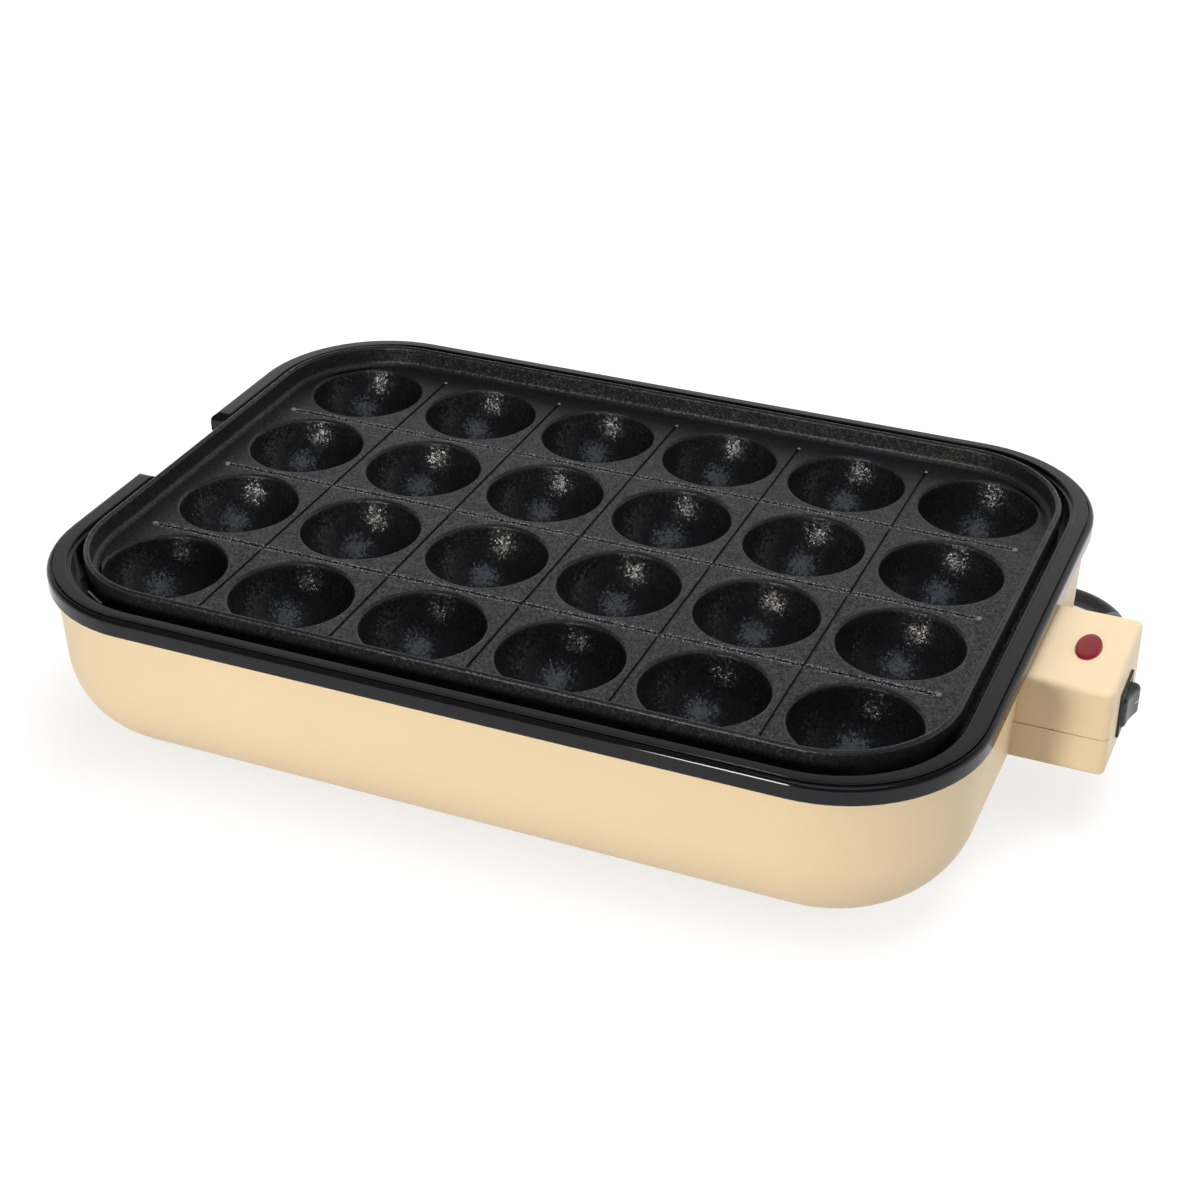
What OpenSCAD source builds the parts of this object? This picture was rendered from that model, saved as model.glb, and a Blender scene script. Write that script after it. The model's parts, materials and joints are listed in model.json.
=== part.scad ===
// Countertop takoyaki maker: cast cooking plate in a guard ring on a moulded body,
// with a side box for the switch, the pilot lamp and the mains cord.
// Millimetres, +Z up, the feet stand on z = 0, +X runs along the long side to the box.

/* [Cooking plate] */
// Number of cavities along the long side
columns = 6; // [3:1:8]
// Number of cavities along the short side
rows = 4; // [2:1:6]
// Distance between cavity centres
pitch = 46; // [44:0.5:56]
// Radius of a cavity just under its rounded lip
cavity_r = 19.7; // [16:0.1:20.2]
// Depth of a cavity below the plate floor
cavity_depth = 19; // [14:0.5:20.5]
// Radius of the rounded lip of a cavity
lip_r = 1.1; // [0.6:0.1:1.2]
// Wall of a cup
cup_wall = 2.2; // [1.8:0.1:2.3]
// Thickness of the plate floor
floor_t = 3; // [2.5:0.5:4]
// Distance from the outer cavity centres to the outside of the rim
rim_margin = 28.6; // [27:0.2:34]
// Height of the rim above the plate floor
rim_h = 7.4; // [5:0.2:12]
// Thickness of the rim
rim_t = 2.1; // [1.6:0.1:3]
// Outer corner radius of the rim
rim_r = 38; // [34:1:42]
// Drop of the outer wall below the plate floor
skirt_drop = 8; // [7:0.5:10]
// Width of the grooves between the cavities
groove_w = 0.9; // [0.6:0.1:1.2]
// Depth of the grooves between the cavities
groove_d = 0.5; // [0.3:0.1:1]

/* [Guard ring] */
// Gap from the plate rim to the top band on the short sides
ring_gap_x = 3.6; // [3.4:0.1:6]
// Gap from the plate rim to the top band on the long sides
ring_gap_y = 6.5; // [6.3:0.1:8]
// Width of the top band on the short sides
band_x = 4.9; // [4.6:0.1:8]
// Width of the top band on the long sides
band_y = 3.7; // [3.5:0.1:8]
// Height of the skirt outside the top band
ring_skirt_h = 6.4; // [5.5:0.1:10]
// Overhang of the skirt outside the top band
ring_skirt_out = 1.8; // [1.4:0.1:3]
// Height of the ring top above the plate floor
ring_rise = 4.6; // [3:0.2:6]
// Width of the finger notch in the short side away from the box
notch_w = 46; // [30:1:60]

/* [Body] */
// Height of the body below the guard ring
body_h = 52.7; // [50:0.1:62]
// Wall of the body
body_wall = 2.5; // [2.2:0.1:3]
// Radius of the rounded bottom edge
bottom_r = 28.5; // [22:0.5:30]
// Lean of the body wall in degrees
draft = 2.2; // [0.5:0.1:3]
// Depth of the ring skirt over the body on the short sides
overhang_x = 1.9; // [1.8:0.1:3]
// Depth of the ring skirt over the body on the long sides
overhang_y = 2.6; // [2:0.1:3]
// Height of a rubber foot below the body
foot_h = 3; // [2:0.5:6]
// Diameter of a rubber foot
foot_d = 14; // [10:1:18]

/* [Heater] */
// Diameter of the sheathed heating element
element_d = 6.5; // [6:0.1:7.5]
// Bend radius of the element
element_bend = 10; // [8:0.5:14]
// Depth of the element's centre below the plate floor
element_drop = 14.5; // [13.5:0.5:16]
// Distance between the two cold ends
cold_end_gap = 30; // [26:1:32]
// Thickness of the steel sheet in the tray, shield and clips
sheet_t = 0.8; // [0.6:0.1:1]

/* [Control box] */
// Reach of the box beyond the body
box_out = 27.8; // [26:0.2:34]
// Width of the box
box_w = 45.6; // [44:0.2:52]
// Height of the box
box_h = 30; // [28:0.5:32]
// Height of the lower half of the box
box_seam_h = 13.1; // [12.6:0.1:14]
// Wall of the box
box_wall = 2; // [1.8:0.1:2.4]
// Radius of the two upright outer edges
box_edge_r = 2.2; // [1:0.1:3]
// Size of the oval lamp lens along the body side
lamp_len = 14.6; // [12:0.2:16]
// Size of the oval lamp lens across
lamp_wid = 7.8; // [6:0.2:9]
// Distance from the lamp centre to the end of the box
lamp_inset = 12.5; // [10:0.5:14]
// Swing of the rocker between its two positions in degrees
rocker_swing = 24; // [16:1:26]

/* [Cord] */
// Diameter of the mains cord
cord_d = 6.2; // [5.8:0.1:6.6]
// Length of the tapered sleeve where the cord leaves the box
sleeve_len = 20; // [16:1:30]
// Radius at the middle of the coiled turns
coil_r = 33.5; // [33:0.5:37]
// Turns in each of the two layers of the coil
coil_turns = 2.5; // [2.5:0.5:3]
// Free gap between neighbouring turns
coil_gap = 0.5; // [0.5:0.1:1]

/* [Hidden] */
$fn = 64;
eps = 0.01;
touch_gap = 0.3;
slip = 0.05;

// Heights
body_z = foot_h;
ring_bottom_z = body_z + body_h;
ring_top_z = ring_bottom_z + ring_skirt_h;
floor_z = ring_top_z - ring_rise;
rim_top_z = floor_z + rim_h;
skirt_z = floor_z - skirt_drop;
flange_top_z = skirt_z - sheet_t;
flange_z = flange_top_z - sheet_t;

// Plan sizes, given as half length, half width and corner radius
rim_a = (columns - 1) / 2 * pitch + rim_margin;
rim_b = (rows - 1) / 2 * pitch + rim_margin;
band_in = [rim_a + ring_gap_x, rim_b + ring_gap_y, rim_r + 3.2];
ledge_w = 1.3;
ledge_in = [band_in[0] - ledge_w, band_in[1] - ledge_w, band_in[2] - ledge_w];
band_out = [band_in[0] + band_x, band_in[1] + band_y, band_in[2] + 3.7];
skirt_out = [band_out[0] + ring_skirt_out, band_out[1] + ring_skirt_out, band_out[2] + ring_skirt_out];
body_out = [skirt_out[0] - overhang_x, skirt_out[1] - overhang_y, skirt_out[2] - 2];
body_in = [body_out[0] - body_wall, body_out[1] - body_wall, body_out[2] - body_wall];
lean = tan(draft);
wall_in = function (z) [for (v = body_in) v - (ring_bottom_z - z) * lean];
bottom_set = bottom_r * cos(draft) + (body_h - bottom_r + bottom_r * sin(draft)) * lean;
tray_t = sheet_t;
tray_out = [rim_a - 2.6, rim_b - 2.6, rim_r - 2.2];

// Cavities
cavity_rise = cavity_depth - lip_r;
sphere_r = (cavity_r * cavity_r + cavity_rise * cavity_rise) / (2 * cavity_rise);
sphere_z = floor_z - cavity_depth + sphere_r;
column_x = [for (i = [0:columns - 1]) (i - (columns - 1) / 2) * pitch];
row_y = [for (j = [0:rows - 1]) (j - (rows - 1) / 2) * pitch];
groove_x = [for (i = [1:columns - 1]) (i - columns / 2) * pitch];
groove_y = [for (j = [1:rows - 1]) (j - rows / 2) * pitch];
groove_margin = 18.3;
groove_a = column_x[columns - 1] + groove_margin;
groove_b = row_y[rows - 1] + groove_margin;
pip_r = 1.6;
pip_h = 0.6;

// Stack of shield, spacers and tray on the body posts
post_x = pitch * 2;
post_y = pitch * 1.25;
posts = [for (sx = [-1, 0, 1]) for (sy = [-1, 1]) [sx * post_x, sy * post_y]];
body_floor_z = body_z + body_wall;
post_top_z = floor_z - 40.5;
shield_top_z = post_top_z + sheet_t;
tray_floor_z = floor_z - 30.3;
tray_top_z = tray_floor_z + tray_t;
screw_r = 1.45;

// Heating element
element_r = element_d / 2;
element_z = floor_z - element_drop;
run_y = groove_y[rows - 2];
end_x = rim_a - 7.8;
cold_y = cold_end_gap / 2;
wall_pass_x = end_x + element_bend - tray_out[0] + tray_t / 2;
wall_pass_y = cold_y + element_bend - sqrt(element_bend * element_bend - wall_pass_x * wall_pass_x);

// Control box
box_x0 = body_out[0] - 2;
box_x1 = body_out[0] + box_out;
box_top_z = ring_bottom_z - 0.4;
box_z = box_top_z - box_h;
seam_z = box_z + box_seam_h;
box_half = box_w / 2;
boss_x = box_x1 - 4.4;
boss_y = box_half - 4.4;
boss_r = 3.2;
lamp_x = box_x1 - lamp_inset;
lamp_proud = 0.9;
tongue_z = box_z + box_wall + 1.2;
tongue_t = 2;
mount_x = tray_out[0] + 4.2;
mount_y = 12;
cold_end_x = body_out[0] + 3;

// Switch and rocker
flange_half_y = 8.2;
flange_half_z = 7.4;
switch_half_y = 7.5;
switch_half_z = 6.4;
switch_flange_t = 0.9;
switch_depth = 17.5;
switch_wall = 0.6;
pivot_x = box_x1 - 1.2;
pivot_r = 1.1;
rocker_half_y = 6.3;
rocker_half_z = 5.3;
rocker_face = 4.4;
rocker_rest = rocker_swing / 2;
rocker_out = rocker_face * cos(rocker_rest) + (rocker_half_y - 0.5) * sin(rocker_rest) + pivot_x - box_x1;
contact_y = 4.2;

// Cord, along the table behind the body and into a coil
cord_r = cord_d / 2;
exit_x = box_x1 - 14.8;
exit_z = box_z + 7.6;
exit_y = box_half + sleeve_len;
sleeve_r0 = 5.2;
sleeve_r1 = cord_r + 0.7;
tie_t = 0.5;
coil_lift = tie_t + 0.1;
coil_z = cord_r + coil_lift;
coil_step = cord_d + coil_gap;
coil_out_r = coil_r + coil_turns * coil_step / 2;
coil_x = 84;
coil_near_y = 115;
coil_y = coil_near_y + coil_out_r;
coil_layer = cord_d + coil_gap;
coil_top_z = coil_z + coil_layer;
lead_points = [
    [exit_x, exit_y, exit_z], [exit_x, exit_y + 2.5, exit_z], [exit_x, exit_y + 5, exit_z],
    [165, 54, 32], [165, 60, 30], [165, 66, 25.5], [165, 71.5, 18], [165, 77, 10.5], [165, 83, 6],
    [165, 89, 3.9], [164, 95, 3.2], [161, 103, 3.1], [155, 110.5, 3.1], [146.5, 115.5, 3.1], [137, 117, 3.1],
    [126, 117, 3.3], [115, 115.7, coil_z], [coil_x + 3 * cord_d, coil_near_y, coil_z],
    [coil_x + 2 * cord_d, coil_near_y, coil_z], [coil_x + cord_d, coil_near_y, coil_z]];
plug_x = 14;
plug_y = 116;
plug_half_z = 8.2;
plug_z = plug_half_z + 0.2;
plug_half_y = 12;
plug_len = 27;
plug_neck = 14;
tail_points = [
    [coil_x - cord_d, coil_near_y, coil_top_z], [coil_x - 1.5 * cord_d, coil_near_y, coil_top_z],
    [coil_x - 2 * cord_d, coil_near_y, coil_top_z], [62, 115.3, 10.2], [52, 115.7, 9.4], [42, 116, 8.6],
    [plug_x + plug_neck + cord_d, plug_y, plug_z], [plug_x + plug_neck + cord_d / 2, plug_y, plug_z],
    [plug_x + plug_neck, plug_y, plug_z]];

// The origin is under the middle of the whole appliance, without its cord
origin_x = (box_x1 + rocker_out - skirt_out[0]) / 2;

cream = [0.95, 0.85, 0.66];
black = [0.06, 0.06, 0.07];
steel = [0.75, 0.75, 0.77];

// ---------- Shared shapes ----------

module at_origin() {
    translate([-origin_x, 0, 0]) children();
}

module rounded_2d(plan) {
    a = plan[0];
    b = plan[1];
    r = plan[2];
    square([2 * a, 2 * (b - r)], center = true);
    square([2 * (a - r), 2 * b], center = true);
    for (sx = [-1, 1]) {
        for (sy = [-1, 1]) {
            translate([sx * (a - r), sy * (b - r)]) circle(r);
        }
    }
}

// An upright block with round corners between two heights
module block(plan, z0, z1) {
    translate([0, 0, z0]) linear_extrude(z1 - z0) rounded_2d(plan);
}

// A solid whose edge section is the 2D child, drawn from the corner centre outwards
module swept_block(plan, z0, z1) {
    a = plan[0];
    b = plan[1];
    r = plan[2];
    translate([0, 0, (z0 + z1) / 2]) cube([2 * (a - r), 2 * (b - r), z1 - z0], center = true);
    for (k = [0:3]) {
        sx = (k == 0 || k == 3) ? 1 : -1;
        sy = k < 2 ? 1 : -1;
        run = k % 2 == 0 ? 2 * (b - r) : 2 * (a - r);
        translate([sx * (a - r), sy * (b - r), 0]) rotate([0, 0, 90 * k]) {
            rotate_extrude(angle = 90) children();
            rotate([90, 0, 0]) linear_extrude(run) children();
        }
    }
}

// Edge section of the body: a leaning wall on a rounded bottom edge, set in by inset
module body_section(inset, z_top, z_low) {
    r = bottom_r - inset;
    cz = body_z + bottom_r;
    cx = body_out[2] - bottom_set;
    tx = cx + r * cos(draft);
    tz = cz - r * sin(draft);
    top_x = tx + (z_top - tz) * lean;
    polygon([[0, z_low], [cx, z_low], [cx, tz - 2], [tx - 5, tz - 2], [tx, tz], [top_x, z_top], [0, z_top]]);
    intersection() {
        translate([cx, cz]) circle(r);
        translate([cx - eps, z_low]) square([r + 1, tz - z_low]);
    }
}

module body_solid(inset, z_top) {
    low = body_z + inset;
    swept_block(body_out, low, z_top) body_section(inset, z_top, low);
}

// Round bar along X from x0 to x1
module bar_x(x0, x1, r) {
    translate([x0, 0, 0]) rotate([0, 90, 0]) cylinder(h = x1 - x0, r = r);
}

// Round bar along Y from y0 to y1
module bar_y(y0, y1, r) {
    translate([0, y1, 0]) rotate([90, 0, 0]) cylinder(h = y1 - y0, r = r);
}

// Quarter bend of a round bar: the arc starts at angle a0 round the given centre
module bend(centre, radius, a0, r) {
    translate(centre) rotate([0, 0, a0]) rotate_extrude(angle = 90) translate([radius, 0]) circle(r);
}

module pan_screw(head_z, tip_z, head_r, head_h) {
    translate([0, 0, tip_z]) cylinder(h = head_z - tip_z, r = screw_r);
    difference() {
        translate([0, 0, head_z]) cylinder(h = head_h, r = head_r);
        for (turn = [0, 90]) {
            translate([0, 0, head_z + head_h]) rotate([0, 0, turn])
                cube([head_r * 1.2, 0.8, 1.6], center = true);
        }
    }
}

// ---------- Smooth tubes swept along a route ----------

function unit(v) = v / norm(v);
function spline(p0, p1, p2, p3, t) =
    0.5 * (2 * p1 + (p2 - p0) * t + (2 * p0 - 5 * p1 + 4 * p2 - p3) * t * t
        + (3 * p1 - p0 - 3 * p2 + p3) * t * t * t);
function smooth_route(pts, steps) = concat(
    [for (i = [0:len(pts) - 2]) for (s = [0:steps - 1])
        spline(pts[max(i - 1, 0)], pts[i], pts[i + 1], pts[min(i + 2, len(pts) - 1)], s / steps)],
    [pts[len(pts) - 1]]);
function tangent(pts, i) = unit(pts[min(i + 1, len(pts) - 1)] - pts[max(i - 1, 0)]);
function side_of(t, s) = unit(s - (s * t) * t);
function sides_along(pts, i, s) = i == len(pts) ? []
    : let (n = side_of(tangent(pts, i), s)) concat([n], sides_along(pts, i + 1, n));

module tube(pts, r, n) {
    count = len(pts);
    first = abs(tangent(pts, 0)[2]) > 0.9 ? [1, 0, 0] : [0, 0, 1];
    side = sides_along(pts, 0, first);
    rings = [for (i = [0:count - 1]) let (t = tangent(pts, i), u = side[i], v = cross(t, u))
        for (k = [0:n - 1]) pts[i] + r * (cos(360 * (k + 0.5) / n) * u + sin(360 * (k + 0.5) / n) * v)];
    walls = [for (i = [0:count - 2]) for (k = [0:n - 1]) for (half = [0, 1])
        let (a = i * n + k, b = i * n + (k + 1) % n)
        half == 0 ? [a, b, b + n] : [a, b + n, a + n]];
    start = [for (k = [1:n - 2]) [0, k + 1, k]];
    last = (count - 1) * n;
    end = [for (k = [1:n - 2]) [last, last + k, last + k + 1]];
    polyhedron(points = rings, faces = [for (f = concat(walls, start, end)) [f[0], f[2], f[1]]]);
}

// ---------- Cooking plate ----------

module pan_section() {
    fillet = 2;
    top = rim_h + 1;
    r = rim_r - rim_t;
    difference() {
        translate([0, floor_z]) square([r, top]);
        difference() {
            translate([r - fillet, floor_z - eps]) square([fillet + 1, fillet + eps]);
            translate([r - fillet, floor_z + fillet]) circle(fillet);
        }
    }
}

module cavity() {
    rotate_extrude() {
        intersection() {
            translate([0, sphere_z]) circle(sphere_r);
            translate([0, sphere_z - sphere_r - 1]) square([sphere_r + 1, floor_z - lip_r - sphere_z + sphere_r + 1]);
        }
        difference() {
            translate([0, floor_z - lip_r - eps]) square([cavity_r + lip_r, lip_r + eps + 1]);
            translate([cavity_r + lip_r, floor_z - lip_r]) circle(lip_r);
        }
    }
}

module cup_outside() {
    intersection() {
        translate([0, 0, sphere_z]) sphere(sphere_r + cup_wall);
        translate([-pitch, -pitch, floor_z - pitch]) cube([2 * pitch, 2 * pitch, pitch - floor_t / 2]);
    }
}

module cooking_plate() {
    inner = [rim_a - rim_t, rim_b - rim_t, rim_r - rim_t];
    under = [rim_a - rim_t - 0.4, rim_b - rim_t - 0.4, rim_r - rim_t - 0.4];
    color([0.13, 0.13, 0.14]) at_origin() {
        difference() {
            union() {
                difference() {
                    block([rim_a, rim_b, rim_r], skirt_z, rim_top_z);
                    swept_block(inner, floor_z, rim_top_z + 1) pan_section();
                    block(under, skirt_z - 1, floor_z - floor_t);
                }
                for (x = column_x) {
                    for (y = row_y) {
                        translate([x, y, 0]) cup_outside();
                    }
                }
            }
            for (x = column_x) {
                for (y = row_y) {
                    translate([x, y, 0]) cavity();
                }
            }
            for (x = groove_x) {
                translate([x, 0, floor_z]) cube([groove_w, 2 * groove_b, 2 * groove_d], center = true);
            }
            for (y = groove_y) {
                translate([0, y, floor_z]) cube([2 * groove_a, groove_w, 2 * groove_d], center = true);
            }
        }
        for (x = groove_x) {
            for (s = [-1, 1]) {
                pip([x, s * groove_b]);
            }
        }
        for (y = groove_y) {
            for (s = [-1, 1]) {
                pip([s * groove_a, y]);
            }
        }
    }
}

// Small cast dot that ends a groove
module pip(place) {
    translate([place[0], place[1], floor_z - 1]) cylinder(h = 1 + pip_h, r = pip_r * 0.7);
}

// ---------- Guard ring ----------

module ring_outer_section() {
    shoulder = 1.5;
    r = skirt_out[2];
    drop = 0.6;
    top = ring_top_z - drop;
    polygon([[0, ring_bottom_z], [r, ring_bottom_z], [r, top - shoulder], [r - shoulder, top - shoulder],
        [r - shoulder, top], [r - ring_skirt_out - 0.5, top], [r - ring_skirt_out, ring_top_z], [0, ring_top_z]]);
    intersection() {
        translate([r - shoulder, top - shoulder]) circle(shoulder);
        translate([r - shoulder, top - shoulder]) square(shoulder);
    }
}

module notch_shape(z0) {
    half = notch_w / 2;
    x = -skirt_out[0] - 5;
    reach = skirt_out[0] - ledge_in[0] + 10;
    translate([x, -half, z0]) cube([reach, notch_w, ring_top_z - z0 + 5]);
}

module guard_ring() {
    band_t = 2.2;
    ledge_z = ring_top_z - 1.2;
    tongue_out = [body_out[0] - 0.2, body_out[1] - 0.2, body_out[2] - 0.2];
    skirt_in = [tongue_out[0] + 0.2, tongue_out[1] + 0.2, tongue_out[2] + 0.2];
    wall_outer = [for (v = wall_in(flange_top_z)) v - touch_gap];
    notch_z = ring_bottom_z + 0.2;
    color(black) at_origin() {
        difference() {
            swept_block(skirt_out, ring_bottom_z, ring_top_z) ring_outer_section();
            block(band_in, ring_bottom_z - 1, ring_top_z + 1);
            block(skirt_in, ring_bottom_z - 1, ring_top_z - band_t);
            notch_shape(notch_z);
        }
        difference() {
            union() {
                block(wall_outer, flange_top_z, ring_top_z - band_t);
                intersection() {
                    block(band_in, ring_top_z - band_t - eps, ledge_z);
                    block(skirt_out, ring_bottom_z, ledge_z);
                }
            }
            block(ledge_in, flange_top_z - 1, ring_top_z + 1);
            notch_shape(notch_z);
        }
        ring_hooks();
    }
}

hook_w = 12;
hook_t = 1.4;
hook_bite = 0.9;
hook_low_z = flange_z - 5;
catch_z = hook_low_z + 1.8;
hooks_long = [-90, 0, 90];
hooks_short = [-46, 46];

// Places of the snap hooks: for each side its rotation, reach and offsets
module on_sides() {
    reach = wall_in(flange_z);
    for (s = [0, 1]) {
        for (x = hooks_long) {
            rotate([0, 0, 180 * s]) translate([x, reach[1], 0]) children();
        }
        for (y = hooks_short) {
            rotate([0, 0, 180 * s - 90]) translate([y, reach[0], 0]) children();
        }
    }
}

module ring_hooks() {
    on_sides() {
        translate([-hook_w / 2, -hook_t - 0.5, hook_low_z])
            cube([hook_w, hook_t, flange_top_z - hook_low_z + 1]);
        translate([-hook_w / 2, -0.5 - eps, hook_low_z]) cube([hook_w, hook_bite + 0.5, catch_z - hook_low_z - touch_gap]);
    }
}

// ---------- Body ----------

module outer_body() {
    tongue_z1 = ring_top_z - 2.2 - touch_gap;
    tongue_out = [body_out[0] - 0.2, body_out[1] - 0.2, body_out[2] - 0.2];
    tongue_in = [tongue_out[0] - 1.9, tongue_out[1] - 1.9, tongue_out[2] - 1.9];
    notch_z = ring_bottom_z - 0.2;
    color(cream) at_origin() {
        difference() {
            union() {
                difference() {
                    body_solid(0, ring_bottom_z);
                    body_solid(body_wall, ring_bottom_z + 1);
                }
                difference() {
                    block(tongue_out, ring_bottom_z - 1, tongue_z1);
                    block(tongue_in, ring_bottom_z - 2, tongue_z1 + 1);
                    notch_shape(notch_z);
                }
                intersection() {
                    body_solid(body_wall / 2, flange_z);
                    union() {
                        body_ribs();
                        body_posts();
                    }
                }
            }
            hook_pockets();
            box_window();
            foot_holes();
            floor_vents();
            for (p = posts) {
                translate([p[0], p[1], post_top_z - 9]) cylinder(h = 10, r = screw_r + slip);
            }
            for (s = [-1, 1]) {
                translate([mount_x, s * mount_y, tongue_z - 9]) cylinder(h = 10, r = screw_r + slip);
            }
        }
    }
}

module body_posts() {
    for (p = posts) {
        translate([p[0], p[1], body_floor_z - 1]) cylinder(h = post_top_z - body_floor_z + 1, r = 4.5);
    }
    for (s = [-1, 1]) {
        translate([mount_x, s * mount_y, body_floor_z - 1])
            cylinder(h = tongue_z - body_floor_z + 1, r = 3.6);
    }
}

// Short ribs on the inside of the wall that carry the flange of the tray
module body_ribs() {
    rib_t = 2;
    rib_low = flange_z - 14;
    reach_x = body_out[0];
    reach_y = body_out[1];
    depth = 6;
    for (sx = [-1, 1]) {
        for (y = [-64, 64]) {
            translate([sx * (reach_x - depth / 2), y, (flange_z + rib_low) / 2])
                cube([depth, rib_t, flange_z - rib_low], center = true);
        }
    }
    for (sy = [-1, 1]) {
        for (x = [-60, -30, 30, 60]) {
            translate([x, sy * (reach_y - depth / 2), (flange_z + rib_low) / 2])
                cube([rib_t, depth, flange_z - rib_low], center = true);
        }
    }
}

module hook_pockets() {
    on_sides() {
        translate([-hook_w / 2 - 0.5, -0.5, hook_low_z - 0.5])
            cube([hook_w + 1, hook_bite + 0.5 + 0.2, catch_z - hook_low_z + 0.5]);
    }
}

module box_window() {
    z0 = tongue_z - slip;
    z1 = box_top_z - box_wall - 0.6;
    half = box_half - box_wall - 1.2;
    translate([body_out[0] - 6, -half, z0]) cube([10, 2 * half, z1 - z0]);
}

foot_x = body_out[0] - 40;
foot_y = body_out[1] - 39;
foot_stem_r = 2.6;

module at_feet() {
    for (sx = [-1, 1]) {
        for (sy = [-1, 1]) {
            translate([sx * foot_x, sy * foot_y, 0]) children();
        }
    }
}

module foot_holes() {
    at_feet() translate([0, 0, body_z - 1]) cylinder(h = body_wall + 2, r = foot_stem_r + slip);
}

module floor_vents() {
    for (sx = [-1, 1]) {
        for (k = [-2:2]) {
            translate([sx * 46 + k * 8, 0, body_z + body_wall / 2])
                cube([3, 34, body_wall + 2], center = true);
        }
    }
}

module rubber_feet() {
    color([0.12, 0.12, 0.12]) at_origin() {
        at_feet() {
            cylinder(h = foot_h, r = foot_d / 2);
            cylinder(h = foot_h + body_wall + 0.5, r = foot_stem_r);
            translate([0, 0, foot_h + body_wall]) cylinder(h = 1.6, r = foot_stem_r + 1.2);
        }
    }
}

// ---------- Tray, shield and their fixings ----------

grommet_y = 0;
grommet_z = tray_top_z + 9.5;
grommet_r = 5;

module heat_tray() {
    inner = [for (v = tray_out) v - tray_t];
    flange = [for (v = wall_in(flange_z)) v - touch_gap];
    color(steel) at_origin() {
        difference() {
            union() {
                block(tray_out, tray_floor_z, flange_top_z);
                block(flange, flange_z, flange_top_z);
            }
            block(inner, tray_top_z, flange_top_z + 1);
            for (p = posts) {
                translate([p[0], p[1], tray_floor_z - 1]) cylinder(h = 3, r = screw_r + 0.25);
            }
            for (s = [-1, 1]) {
                translate([tray_out[0] - 3, s * wall_pass_y, element_z]) bar_x(0, 6, element_r + 1.8);
            }
            translate([tray_out[0] - 3, grommet_y, grommet_z]) bar_x(0, 6, grommet_r);
            on_sides() translate([-hook_w / 2 - 0.6, -hook_t - 1, flange_z - 1]) cube([hook_w + 1.2, hook_t + 3, 4]);
        }
    }
}

module heat_shield() {
    plan = [tray_out[0] - 12, tray_out[1] - 12, 20];
    color(steel) at_origin() {
        difference() {
            block(plan, post_top_z, shield_top_z);
            for (p = posts) {
                translate([p[0], p[1], post_top_z - 1]) cylinder(h = 3, r = screw_r + 0.25);
            }
        }
    }
}

module tray_spacers() {
    color([0.9, 0.89, 0.84]) at_origin() {
        for (p = posts) {
            translate([p[0], p[1], shield_top_z]) difference() {
                cylinder(h = tray_floor_z - shield_top_z, r = 3.5);
                translate([0, 0, -1]) cylinder(h = 30, r = screw_r + 0.25);
            }
        }
    }
}

module tray_screws() {
    color(steel) at_origin() {
        for (p = posts) {
            translate([p[0], p[1], 0]) pan_screw(tray_top_z, post_top_z - 8.5, 3.2, 2);
        }
    }
}

locator_angle = 60;
locator_w = 9;

module plate_locators() {
    low = flange_top_z;
    color(steel) at_origin() {
        for (sx = [-1, 1]) {
            for (sy = [-1, 1]) {
                translate([sx * (rim_a - rim_r), sy * (rim_b - rim_r), 0])
                    rotate([0, 0, sx > 0 ? sy * locator_angle : 180 - sy * locator_angle]) {
                        translate([rim_r - 4, -locator_w / 2, low]) cube([5.8, locator_w, sheet_t]);
                        translate([rim_r + 0.6, -locator_w / 2, low]) cube([1.2, locator_w, floor_z - low]);
                    }
            }
        }
    }
}

// ---------- Heating element ----------

module heating_element() {
    bend_r = element_bend;
    color([0.42, 0.4, 0.38]) at_origin() translate([0, 0, element_z]) {
        for (s = [-1, 1]) {
            translate([0, s * run_y, 0]) bar_x(-end_x + bend_r, end_x - bend_r, element_r);
            translate([0, s * cold_y, 0]) bar_x(end_x + bend_r, cold_end_x, element_r);
            y0 = s > 0 ? cold_y + bend_r : -run_y + bend_r;
            y1 = s > 0 ? run_y - bend_r : -cold_y - bend_r;
            translate([end_x, 0, 0]) bar_y(y0, y1, element_r);
        }
        translate([-end_x, 0, 0]) bar_y(-run_y + bend_r, run_y - bend_r, element_r);
        bend([end_x - bend_r, run_y - bend_r, 0], bend_r, 0, element_r);
        bend([-end_x + bend_r, run_y - bend_r, 0], bend_r, 90, element_r);
        bend([-end_x + bend_r, -run_y + bend_r, 0], bend_r, 180, element_r);
        bend([end_x - bend_r, -run_y + bend_r, 0], bend_r, 270, element_r);
        bend([end_x + bend_r, cold_y + bend_r, 0], bend_r, 180, element_r);
        bend([end_x + bend_r, -cold_y - bend_r, 0], bend_r, 90, element_r);
    }
}

seal_len = 4;
pin_len = 8;

module element_seals() {
    color([0.93, 0.92, 0.88]) at_origin() {
        for (s = [-1, 1]) {
            translate([0, s * cold_y, element_z]) bar_x(cold_end_x, cold_end_x + seal_len, element_r - 0.4);
        }
    }
}

module element_pins() {
    color(steel) at_origin() {
        for (s = [-1, 1]) {
            translate([0, s * cold_y, element_z])
                bar_x(cold_end_x + seal_len, cold_end_x + seal_len + pin_len, 1.2);
        }
    }
}

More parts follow.
